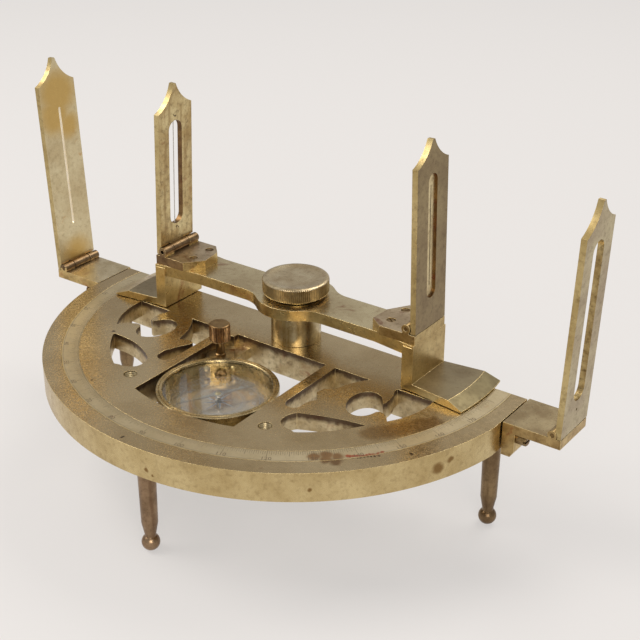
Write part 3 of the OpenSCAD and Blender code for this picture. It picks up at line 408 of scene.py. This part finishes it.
# Alidade's left sight: bright metal under brown runs and many specks
moving_object_brass = sight_brass("moving_object_sight_brass", "#d6c493", "#b39a6a", "#5c4530", tarnish_mm=11,
                                  speck=0.75, blush="#8a5c3e", blush_share=0.06, streaks="#8d7148")
# Alidade's right sight: evenly tarnished to a dark olive
moving_eye_brass = sight_brass("moving_eye_sight_brass", "#95835f", "#806d4e", "#564430")
# Right end's sight: matt grey olive
fixed_object_brass = sight_brass("fixed_object_sight_brass", "#bcae88", "#a49272", "#5f4a32", pits=1.0)
# Filed narrow sides of all four sights: matt and golden
sight_edge_brass = sight_brass("sight_edge_brass", "#c9b583", "#b09a68", "#6f5737", rough=0.42, speck=0.6,
                               pits=0.8)
# Floors of the recesses: even and pale, their paleness painted light where the floors catch the lamps
lit_recess_floor_brass = sight_brass("lit_recess_floor_brass", "#d8c79c", "#bfab80", "#6f593c")
# Walls of the sights' windows: on the alidade red-brown and dark, patina deepened by painted shade of the
# openings; on the right end pitted and golden
dark_wall_patina_and_shade = sight_brass("opening_wall_brass", "#8c6f48", "#6b5036", "#35271c", rough=0.42, tarnish_mm=5,
                        blush="#7a4630", blush_share=0.1)
wall_gold = sight_brass("pitted_wall_brass", "#c0ab7a", "#9b8356", "#44331f", rough=0.36, tarnish_mm=4,
                        speck=0.9)
# Walls of the fixed eye sight's slit. They are much paler than brass, to stand in for the line of light that
# the photograph shows through it, which this slit doesn't let through at the camera's angle.
slit_wall = sight_brass("slit_painted_light_brass", "#fff6e4", "#f2e6cc", "#c9b48a", rough=0.5, speck=0.1, pits=0)


def dial_silver():
    """Brass rubbed with silvering salts: nearly a mirror under the glass, with faint cloudy tarnish."""
    cloud_mm = 7.143
    material, tree = new_material("silvered_dial")
    coords = add(tree, "ShaderNodeTexCoord").outputs["Object"]
    clouds = add(tree, "ShaderNodeTexNoise", {"Vector": coords}, Scale=1000 / cloud_mm, Detail=4.0).outputs[0]
    rough = add(tree, "ShaderNodeMapRange", {0: clouds}, i1=0.35, i2=0.65, i3=0.08, i4=0.16)
    colour = laid_over(tree, "#dacbb9", [(clouds, "#c1b19f")])
    surface = add(tree, "ShaderNodeBsdfPrincipled", {"Base Color": colour, "Roughness": rough.outputs[0]},
                  Metallic=0.9)
    add(tree, "ShaderNodeOutputMaterial", {0: surface.outputs[0]})
    return material


def clear_glass():
    """Thin flat crown glass: light passes, and the surface mirrors by Fresnel at the usual IOR of 1.5. Shadow
    rays pass it straight, so that the dial is lit."""
    material, tree = new_material("crown_glass")
    gloss = add(tree, "ShaderNodeBsdfPrincipled", Roughness=0.03, IOR=1.5, Base_Color=hex_colour("#f4f6f4"),
                Transmission_Weight=1.0)
    through = add(tree, "ShaderNodeBsdfTransparent", i0=hex_colour("#f0f2ee"))
    path = add(tree, "ShaderNodeLightPath")
    shade = add(tree, "ShaderNodeMixShader",
                {0: path.outputs["Is Shadow Ray"], 1: gloss.outputs[0], 2: through.outputs[0]})
    add(tree, "ShaderNodeOutputMaterial", {0: shade.outputs[0]})
    return material


def even(name, colour, rough, metallic=0.0, variation=0.25):
    """One colour with a fine uneven tone, for wax, enamel, hair and steel."""
    tone_mm = 1.111
    material, tree = new_material(name)
    coords = add(tree, "ShaderNodeTexCoord").outputs["Object"]
    tone = add(tree, "ShaderNodeTexNoise", {"Vector": coords}, Scale=1000 / tone_mm, Detail=3.0)
    darker = add(tree, "ShaderNodeMapRange", {0: tone.outputs[0]}, i1=0.35, i2=0.65, i3=0.0, i4=variation)
    shaded = laid_over(tree, colour, [(darker.outputs[0], "#1c1610")])
    surface = add(tree, "ShaderNodeBsdfPrincipled", {"Base Color": shaded}, Roughness=rough, Metallic=metallic)
    add(tree, "ShaderNodeOutputMaterial", {0: surface.outputs[0]})
    return material


silver_dial = dial_silver()
glass = clear_glass()
# Dark wax rubbed into the engraved lines: matt brown, worn thin in places
engraving_wax = even("engraving_wax", "#5b4a32", 0.7, variation=0.3)
# Enamel of the card's star: a faded blue-grey, half matt
rose_enamel = even("rose_enamel", "#757c8a", 0.5, 0.2)
# Horsehair stretched over the window: a pale grey thread, with dark free ends
horsehair = even("horsehair", "#b9b6b0", 0.4, variation=0.15)
curl_hair = even("dark_horsehair", "#3a2c20", 0.5)
# Polished steel of the needle: white glints under the glass
needle_steel = even("bright_needle_steel", "#c6c9cc", 0.2, 1.0, variation=0.1)

# Which face takes which look

TOP_FACING = 0.94
LEVEL = 0.985
SLOPING = 0.15
FOOT_HEIGHT = 6
RIM_DEPTH = 1.6
KNUCKLE_REACH = 2.0
WINDOW_HALF = 4.3  # window and slit walls stand nearer to the plate's middle than this
WINDOW_FROM = 7
HEAD_HEIGHT = 10
RECESS_DEPTH = 0.9
FIXED_EYE_INSET, MOVING_EYE_INSET = 3.5, 4.1  # from a hinge pin's axis to the plate's outer face


def hinged_plate(pin):
    """Bracket or leaf: 3 for its knuckles, 2 for its top, 1 for the rest."""
    px, _, pz = middle(pin)

    def pick(centre, normal):
        if math.hypot(centre.x - px, centre.z - pz) < KNUCKLE_REACH:
            return 3
        return 2 if normal.z > TOP_FACING else 1
    return pick


def limb_face(centre, normal):
    """Limb: 2 for its top, 3 for its rim, 1 for the cast walls."""
    if normal.z > TOP_FACING and centre.z > LIMB_TOP - 0.2:
        return 2
    return 3 if math.hypot(centre.x, centre.y) > LIMB_RADIUS - RIM_DEPTH and abs(normal.z) < 0.5 else 1


def alidade_face(centre, normal):
    """Alidade: 2 for the arm's top, 3 for the feet's tops, 4 for the right foot's bevel, 1 for the sides."""
    on_arm = centre.z > LIMB_TOP + FOOT_HEIGHT
    if normal.z > LEVEL:
        return 2 if on_arm else 3
    return 4 if normal.z > SLOPING and not on_arm and centre.x > 0 else 1


def sight_plate(node, pin, inset=None):
    """Sight: 4 for its knuckle, 3 for its window's walls, 2 for its faces, 1 for its narrow sides, and 5 for a
    recess's floor, told by its distance from the pin's axis."""
    px, _, pz = middle(pin)
    out = 1 if px > 0 else -1
    head = box_mm(node)[1][2] - HEAD_HEIGHT

    def pick(centre, normal):
        if math.hypot(centre.x - px, centre.z - pz) < KNUCKLE_REACH:
            return 4
        if abs(normal.x) < 0.7:
            return 3 if abs(centre.y) < WINDOW_HALF and pz + WINDOW_FROM < centre.z < head else 1
        away = normal.x * (centre.x - px) + normal.z * (centre.z - pz)
        return 5 if inset and normal.x * out > 0 and away < inset - RECESS_DEPTH / 2 else 2
    return pick


CRISP_TURN = 28  # degrees: an edge that turns more is filed, one that turns less is shaded smooth
FOOT_TURN = 14  # the feet's bevels are shallower than that


def whole(centre, normal):
    """One look all over."""
    return 1


def eased(node, width, looks, pick=whole, crisp=CRISP_TURN):
    """Replaces a node by a copy whose edges are rounded by a file: doubles merged, flat triangles joined,
    then a bevel. The bevel takes looks[0], and a face looks[pick(its centre in millimetres, its normal)]."""
    merge, flat = 2e-6, math.radians(0.4)
    name = node + "_eased"
    mesh = frame["nodes"][node].data.copy()
    mesh.name = name
    mesh.materials.clear()
    for look in looks:
        mesh.materials.append(look)
    shape = bmesh.new()
    shape.from_mesh(mesh)
    bmesh.ops.remove_doubles(shape, verts=shape.verts, dist=merge)
    bmesh.ops.dissolve_limit(shape, angle_limit=flat, verts=shape.verts, edges=shape.edges)
    shape.normal_update()
    for face in shape.faces:
        face.smooth = True
        face.material_index = pick(face.calc_center_median() / MM, face.normal)
    mark_sharp(shape.edges, crisp)
    shape.to_mesh(mesh)
    shape.free()
    obj = linked_object(name, mesh)
    bevel = obj.modifiers.new("filed edge", "BEVEL")
    bevel.width = width * MM
    bevel.segments = 2
    bevel.limit_method = "ANGLE"
    bevel.angle_limit = math.radians(crisp)
    bevel.use_clamp_overlap = True
    bevel.harden_normals = True
    bevel.material = 0
    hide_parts(node)
    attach(obj, BODY_OF[node])


# Nodes with several looks: (edge width, looks, which face takes which)
FACED = {
    "limb_plate": (0.22, (edge_wear_and_highlight, cast_wall, limb_top, rim_brass_painted_sheen), limb_face),
    "alidade_bridge": (0.2, (edge_wear_and_highlight, arm_side, arm_top, foot_top, foot_bevel), alidade_face),
    "bracket_left": (0.2, (edge_wear_and_highlight, bracket_side, bracket_top_left, knuckle_left),
                     hinged_plate("fixed_pin_left")),
    "bracket_right": (0.2, (edge_wear_and_highlight, bracket_side, bracket_top, knuckle_right),
                      hinged_plate("fixed_pin_right")),
    "leaf_left": (0.2, (edge_wear_and_highlight, arm_side, leaf_top, knuckle_left), hinged_plate("alidade_pin_left")),
    "leaf_right": (0.2, (edge_wear_and_highlight, arm_side, leaf_top, knuckle_right), hinged_plate("alidade_pin_right")),
    "sight_fixed_eye": (
        0.18, (edge_wear_and_highlight, sight_edge_brass, fixed_eye_brass, slit_wall, knuckle_left, lit_recess_floor_brass),
        sight_plate("sight_fixed_eye", "fixed_pin_left", FIXED_EYE_INSET)),
    "sight_fixed_object": (
        0.18, (edge_wear_and_highlight, sight_edge_brass, fixed_object_brass, wall_gold, knuckle_right),
        sight_plate("sight_fixed_object", "fixed_pin_right")),
    "sight_moving_object": (
        0.18, (edge_wear_and_highlight, sight_edge_brass, moving_object_brass, dark_wall_patina_and_shade, knuckle_left),
        sight_plate("sight_moving_object", "alidade_pin_left")),
    "sight_moving_eye": (
        0.18, (edge_wear_and_highlight, sight_edge_brass, moving_eye_brass, dark_wall_patina_and_shade, knuckle_right, lit_recess_floor_brass),
        sight_plate("sight_moving_eye", "alidade_pin_right", MOVING_EYE_INSET)),
}
# Nodes with one look: (look, edge width)
ROUNDED = {
    "scale_band": (band_silver, 0.05), "pivot_boss": (turned_brass, 0.2), "bracket_screws": (screw_brass, 0.1),
    "leg_front": (leg_front, 0.1), "leg_left": (leg_side, 0.1), "leg_right": (leg_side, 0.1),
    "compass_drum": (drum_brass, 0.1), "compass_bezel": (bezel_brass, 0.06),
    "compass_bracket": (bracket_top, 0.12), "compass_screw": (screw_brass, 0.05),
    "leaf_screws": (screw_brass, 0.06), "knob_washer": (drum_brass, 0.08),
}
# Nodes that stay as the CAD made them
BARE = {
    "pivot_stud": steel, "fixed_pin_left": pin_brass, "fixed_pin_right": pin_brass,
    "alidade_pin_left": pin_brass, "alidade_pin_right": pin_brass, "compass_dial": silver_dial,
    "needle_post": steel, "compass_rivets": edge_wear_and_highlight, "needle": needle_steel, "needle_cap": turned_brass,
    "sight_hair": horsehair, "compass_glass": glass,
}
for node, (width, looks, pick) in FACED.items():
    eased(node, width, looks, pick, FOOT_TURN if node == "alidade_bridge" else CRISP_TURN)
for node, (look, width) in ROUNDED.items():
    eased(node, width, (look, look))
for node, look in BARE.items():
    for slot in frame["nodes"][node].material_slots:
        slot.material = look

# Knurled heads


def knurled(node, name, centre, profile, ridged, teeth, depth, look, grip):
    """A turned profile of (radius, height) swept round its axis. In the ridged rows the radius falls by depth
    times a triangle wave of the angle, so each tooth is a straight upright ridge, and they take the grip's
    look."""
    per_tooth = 6
    steps = teeth * per_tooth
    profile = np.array(profile, float)
    rows = len(profile)
    angle = full_turn(steps)
    wave = np.abs((np.arange(steps) % per_tooth) / per_tooth * 2 - 1)
    mask = np.zeros(rows)
    mask[ridged] = 1
    radius = profile[:, :1] - depth * mask[:, None] * (1 - wave)[None, :]
    verts = np.stack([centre[0] + radius * np.cos(angle), centre[1] + radius * np.sin(angle),
                      np.repeat(profile[:, 1:], steps, axis=1)], axis=2).reshape(-1, 3)
    obj = mesh_object(name, verts, tube_faces(rows, steps), look, BODY_OF[node], SLOT_OF[node], 24)
    obj.data.materials.append(grip)
    polygons = obj.data.polygons
    centres, normals = np.empty((2, 3 * len(polygons)))
    polygons.foreach_get("center", centres)
    polygons.foreach_get("normal", normals)
    height, upward = centres[2::3] / MM, normals[2::3]
    low, high = profile[ridged][0][1], profile[ridged][-1][1]
    on_grip = (low < height) & (height < high) & (np.abs(upward) < 0.9)
    polygons.foreach_set("material_index", on_grip.astype(np.int32))
    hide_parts(node)


def clamp_knob():
    """Wide low knob with a threaded bore, a fine knurl between two chamfers, and a dished top."""
    low, high = box_mm("clamp_knob")
    r, foot, top = high[0], low[2], high[2]
    bore = 3.05
    profile = [(bore, top - 1.5), (bore, foot), (r - 0.9, foot), (r - 0.35, foot + 0.25), (r, foot + 0.7),
               (r, foot + 0.71), (r, top - 0.75), (r, top - 0.7), (r - 0.3, top - 0.3), (r - 0.9, top - 0.03),
               (r - 1.5, top), (r - 2.2, top - 0.05), (r - 3, top - 0.3), (r - 6, top - 0.36),
               (r - 11, top - 0.38)]
    knurled("clamp_knob", "knob_knurled", (0, 0), profile, slice(4, 8), 104, 0.22, knob_brass, knob_grip)


def thumb_screw():
    """Slim screw: a plain point, a collar on the tab, a neck, and a head with a coarse knurl."""
    low, high = box_mm("thumb_screw")
    r, top = (high[0] - low[0]) / 2, high[2]
    head, tab = top - 7.2, top - 7.2 - 6.8
    point, neck, collar = 1.2, 1.7, 2.1
    profile = [(0.9, low[2]), (point, low[2] + 0.3), (point, tab), (collar, tab + 0.02), (collar, tab + 0.9),
               (neck, tab + 1.2), (neck, head), (r - 0.5, head), (r - 0.1, head + 0.2), (r, head + 0.45),
               (r, head + 0.46), (r, top - 0.55), (r, top - 0.5), (r - 0.15, top - 0.2), (r - 0.5, top - 0.02),
               (r - 1.0, top), (0.4, top - 0.02)]
    knurled("thumb_screw", "thumb_knurled", middle("thumb_screw"), profile, slice(9, 13), 22, 0.5, thumb_brass,
            thumb_grip)


clamp_knob()
thumb_screw()

# Thread turns in the two tapped holes

TAPPED_X, TAPPED_Y = 32.25, -62.1
TAPPED_RADIUS = 2.6


def thread_turns(name, x, y):
    """Ring whose inner wall zigzags with height: its radius is the bore's at each root, less at each crest."""
    depth, pitch, turns, steps, skin = 0.28, 0.8, 7, 40, 0.03
    top = LIMB_TOP - 0.5
    row = np.arange(2 * turns + 1)
    section = np.stack([TAPPED_RADIUS - depth * (row % 2), top - row * pitch / 2], axis=1)
    outside = TAPPED_RADIUS + skin
    section = np.concatenate([[(outside, top)], section, [(outside, section[-1][1])]])
    angle = full_turn(steps)
    verts = np.stack([x + section[:, :1] * np.cos(angle), y + section[:, :1] * np.sin(angle),
                      np.repeat(section[:, 1:], steps, axis=1)], axis=2).reshape(-1, 3)
    mesh_object(name, verts, tube_faces(len(section), steps, joined=True), turned_brass, "limb",
                SLOT_OF["limb_plate"], 20)


thread_turns("thread_left", -TAPPED_X, TAPPED_Y)
thread_turns("thread_right", TAPPED_X, TAPPED_Y)

# Curled ends of the sight's hair, above and below the window, at (x, z)

HAIR_ABOVE, HAIR_BELOW = (-59.3, 92.9), (-61.1, 43.0)


def hair_curl(name, place, turn):
    """Round wire swept along a curl: a circle of 0.8 mm that opens outward from the plate and ends free."""
    wire, steps, sides = 0.13, 24, 8
    start, tighter, behind, ahead = 0.8, 0.25, 0.5, 1.1
    x, z = place
    s = np.linspace(0, 1, steps)[:, None]
    angle = s * 1.6 * math.pi * turn
    radius = start - tighter * s
    path = np.concatenate([x - behind + ahead * s, radius * np.sin(angle),
                           z + radius * (np.cos(angle) - 1) * turn], axis=1)
    along = np.gradient(path, axis=0)
    along /= np.linalg.norm(along, axis=1, keepdims=True)
    side = np.cross(along, (1.0, 0.0, 0.0))
    side /= np.linalg.norm(side, axis=1, keepdims=True)
    over = np.cross(along, side)
    round_wire = full_turn(sides)[None, :, None]
    ring = side[:, None] * np.cos(round_wire) + over[:, None] * np.sin(round_wire)
    verts = (path[:, None] + wire * ring).reshape(-1, 3)
    mesh_object(name, verts, tube_faces(steps, sides), curl_hair, BODY_OF["sight_hair"], SLOT_OF["sight_hair"],
                40)


hair_curl("hair_curl_high", HAIR_ABOVE, 1)
hair_curl("hair_curl_low", HAIR_BELOW, -1)

# Divisions, numbers and the rose: thin marks that stand a hair's breadth above the silvered face

MARK_HEIGHT = 0.012
MARK_SINK = 0.004
ON_BAND = (LIMB_TOP - MARK_SINK, "band_silvered")
ON_DIAL = (DIAL_TOP - MARK_SINK, "dial_silvered")


def polar(centre, radius, degrees):
    """Points at a distance and a bearing from a centre."""
    angle = np.radians(degrees)
    return np.stack([centre[0] + radius * np.cos(angle), centre[1] + radius * np.sin(angle)], axis=-1)


def flat_bars(name, start, end, width, ground, look):
    """Thin boxes: each runs from its start to its end, half its width to each side of that line."""
    z, slot = ground
    along = (end - start) / np.linalg.norm(end - start, axis=1, keepdims=True)
    side = np.stack([-along[:, 1], along[:, 0]], axis=1) * np.reshape(width, (-1, 1)) / 2
    corners = np.stack([start - side, end - side, end + side, start + side], axis=1)
    level = np.full((len(start), 4, 1), z)
    verts = np.concatenate([np.concatenate([corners, level], axis=2),
                            np.concatenate([corners, level + MARK_HEIGHT], axis=2)], axis=1).reshape(-1, 3)
    box = np.array([(3, 2, 1, 0), (4, 5, 6, 7), (0, 1, 5, 4), (1, 2, 6, 5), (2, 3, 7, 6), (3, 0, 4, 7)])
    faces = (np.arange(len(start))[:, None, None] * 8 + box[None]).reshape(-1, 4).tolist()
    mesh_object(name, verts, faces, look, "limb", slot)


def flat_ring(name, centre, radius, width, ground, look, steps, ends=None):
    """A thin hoop of rectangular section, whole or between two bearings."""
    z, slot = ground
    start, end = ends or (0.0, 360.0)
    points = steps + 1 if ends else steps
    angle = np.radians(start + (end - start) * np.arange(points) / steps)
    inner, outer = radius - width / 2, radius + width / 2
    section = np.array([(inner, z), (outer, z), (outer, z + MARK_HEIGHT), (inner, z + MARK_HEIGHT)])
    verts = np.stack([centre[0] + section[None, :, 0] * np.cos(angle)[:, None],
                      centre[1] + section[None, :, 0] * np.sin(angle)[:, None],
                      np.repeat(section[None, :, 1], points, axis=0)], axis=2).reshape(-1, 3)
    mesh_object(name, verts, tube_faces(points, 4, joined=not ends), look, "limb", slot)


def numbers(name, words, centre, radius, height, ground, look):
    """Figures standing round a circle, tops outward: each word's outline is filled and turned to its angle."""
    size_of_capital = 1.38
    z, slot = ground
    shape = bmesh.new()
    for word, degrees in words:
        curve = bpy.data.curves.new(name, "FONT")
        curve.body = word
        curve.size = height * size_of_capital * MM
        curve.align_x = "CENTER"
        curve.align_y = "CENTER"
        curve.resolution_u = 3
        curve.extrude = MARK_HEIGHT / 2 * MM
        source = linked_object(name + "_source", curve)
        bpy.context.view_layer.update()
        mesh = bpy.data.meshes.new_from_object(source)
        bpy.data.objects.remove(source)
        x, y = polar(centre, radius, degrees)
        turned = Matrix.Rotation(math.radians(degrees + 90), 4, "Z")
        mesh.transform(Matrix.Translation(Vector((x, y, z + MARK_HEIGHT / 2)) * MM) @ turned)
        shape.from_mesh(mesh)
        bpy.data.meshes.remove(mesh)
    mesh = bpy.data.meshes.new(name)
    shape.to_mesh(mesh)
    shape.free()
    mesh.materials.append(look)
    finished(name, mesh, "limb", slot, 30)


def band_marks():
    """Half-degree lines from the band's inner edge, longer at each degree, five and ten degrees, between two
    border lines, with a number each ten degrees and a pale edge line, partly rubbed wear and partly painted
    highlight."""
    limb_centre = (0, 0)
    inset = 0.35
    half = np.arange(361)
    degrees = half / 2 - 180
    length = np.select([half % 20 == 0, half % 10 == 0, half % 2 == 0], [3.6, 3.0, 2.3], 1.7)
    width = np.where(half % 10 == 0, 0.16, 0.12)
    flat_bars("band_divisions", polar(limb_centre, BAND_INNER + inset, degrees),
              polar(limb_centre, BAND_INNER + inset + length, degrees), width, ON_BAND, engraving_wax)
    back = math.degrees(math.asin(BAR_BACK / BAND_OUTER))
    for name, radius, width, look, short in (
            ("band_inner_line", BAND_INNER + 0.3, 0.13, engraving_wax, 0.4),
            ("band_outer_line", BAND_OUTER - 0.75, 0.1, engraving_wax, 0.4),
            ("band_edge_wear_and_highlight", BAND_OUTER - 0.15, 0.3, edge_wear_and_highlight, 0.3)):
        flat_ring(name, limb_centre, radius, width, ON_BAND, look, 360, (-180 - back + short, back - short))
    numbers("band_numbers", [(str(d), -180 + d) for d in range(10, 180, 10)], limb_centre, BAND_OUTER - 1.6,
            1.9, ON_BAND, engraving_wax)


def compass_rose():
    """Eight-pointed star whose rays are each half filled, rings of fine lines, degree lines and numbers."""
    points, long_ray, short_ray, notch = 16, 8.2, 6.4, 2.3
    scale_inner, scale_outer, five_outer = 15.6, 18.4, 17.2
    z = ON_DIAL[0]
    i = np.arange(points)
    reach = np.select([i % 4 == 0, i % 2 == 0], [long_ray, short_ray], notch)
    flat = np.concatenate([[DIAL_CENTRE], polar(DIAL_CENTRE, reach, i * 360 / points + 90)])
    level = np.full((len(flat), 1), z)
    verts = np.stack([np.concatenate([flat, level], axis=1),
                      np.concatenate([flat, level + MARK_HEIGHT], axis=1)], axis=1).reshape(-1, 3)
    faces = []
    for tip in range(2, 2 * points + 2, 4):
        dip = tip + 2
        faces += [(1, tip + 1, dip + 1), (0, dip, tip), (tip, dip, dip + 1, tip + 1), (0, tip, tip + 1, 1),
                  (dip, 0, 1, dip + 1)]
    mesh_object("rose_star", verts, faces, rose_enamel, "limb", ON_DIAL[1])
    for radius, width in ((9.2, 0.16), (10.0, 0.12), (scale_inner, 0.14), (scale_outer, 0.14)):
        name = "rose_ring_" + str(radius).replace(".", "_")
        flat_ring(name, DIAL_CENTRE, radius, width, ON_DIAL, rose_enamel, 96)
    line = np.arange(72)
    flat_bars("rose_degrees", polar(DIAL_CENTRE, scale_inner, line * 5),
              polar(DIAL_CENTRE, np.where(line % 2 == 0, scale_outer, five_outer), line * 5),
              np.full(72, 0.14), ON_DIAL, rose_enamel)
    numbers("rose_numbers", [(str(d), 90 - d) for d in range(0, 360, 30)], DIAL_CENTRE, 13.6, 1.7, ON_DIAL,
            rose_enamel)


band_marks()
compass_rose()

# Floor, light and camera


def studio():
    """Pale paper on the floor and a soft room. The camera, reflections and the glass see the paper's own grey,
    with enough of the lit paper left in it for the object's shadow to show."""
    own_grey = 0.62
    half = 4000
    material, tree = new_material("pale_paper")
    paper = add(tree, "ShaderNodeBsdfDiffuse", i0=hex_colour("#dcd9d7"))
    glow = add(tree, "ShaderNodeEmission", i0=hex_colour("#e4e1df"))
    path = add(tree, "ShaderNodeLightPath").outputs
    seen = add(tree, "ShaderNodeMath", {0: path["Is Camera Ray"], 1: path["Is Glossy Ray"]},
               operation="MAXIMUM")
    seen = add(tree, "ShaderNodeMath", {0: seen.outputs[0], 1: path["Is Transmission Ray"]},
               operation="MAXIMUM")
    part = add(tree, "ShaderNodeMath", {0: seen.outputs[0]}, operation="MULTIPLY", i1=own_grey)
    shade = add(tree, "ShaderNodeMixShader", {0: part.outputs[0], 1: paper.outputs[0], 2: glow.outputs[0]})
    add(tree, "ShaderNodeOutputMaterial", {0: shade.outputs[0]})
    corners = [(-half, -half, FLOOR), (half, -half, FLOOR), (half, half, FLOOR), (-half, half, FLOOR)]
    mesh_object("floor", corners, [(0, 1, 2, 3)], material)
    world = bpy.data.worlds.new("soft_room")
    scene.world = world
    world.use_nodes = True
    world.node_tree.nodes.clear()
    room = add(world.node_tree, "ShaderNodeBackground", Strength=0.55, i0=hex_colour("#f2f0ee"))
    add(world.node_tree, "ShaderNodeOutputWorld", {0: room.outputs[0]})


def soft_box(name, place, target, size, power):
    """A warm white lamp of that width and height, which faces its target."""
    data = bpy.data.lights.new(name, "AREA")
    data.shape = "RECTANGLE"
    data.size, data.size_y = size[0] * MM, size[1] * MM
    data.energy = power
    data.color = hex_colour("#fffaf4")[:3]
    lamp = linked_object(name, data)
    lamp.location = Vector(place) * MM
    lamp.rotation_euler = (Vector(target) - Vector(place)).to_track_quat("-Z", "Y").to_euler()


def photo_camera():
    """The camera that was fitted to the limb's arc, band, back edge and window."""
    place = Vector((284.9, -383.05, 247.05 + LIMB_TOP))
    forward = Vector((-0.51886, 0.72744, -0.44901)).normalized()
    roll = math.radians(-0.22)
    focal_pixels, picture_pixels, sensor = 1342.23, 640, 36
    right = forward.cross(Vector((0, 0, 1))).normalized()
    up = right.cross(forward)
    tilt = Matrix.Rotation(roll, 3, forward)
    right, up = tilt @ right, tilt @ up
    data = bpy.data.cameras.new("photo_camera")
    data.sensor_width = sensor
    data.lens = focal_pixels / picture_pixels * sensor
    data.clip_start, data.clip_end = 0.01, 20
    camera = linked_object("photo_camera", data)
    camera.matrix_world = Matrix.Translation(place * MM) @ Matrix((right, up, -forward)).transposed().to_4x4()
    scene.camera = camera


studio()
soft_box("key_left", (-700, -350, 900), (0, -30, 0), (700, 700), 9)
soft_box("front_right", (650, -800, 450), (0, -30, 20), (600, 500), 5)
soft_box("back_top", (150, 700, 1000), (0, 0, 0), (800, 600), 6)
photo_camera()
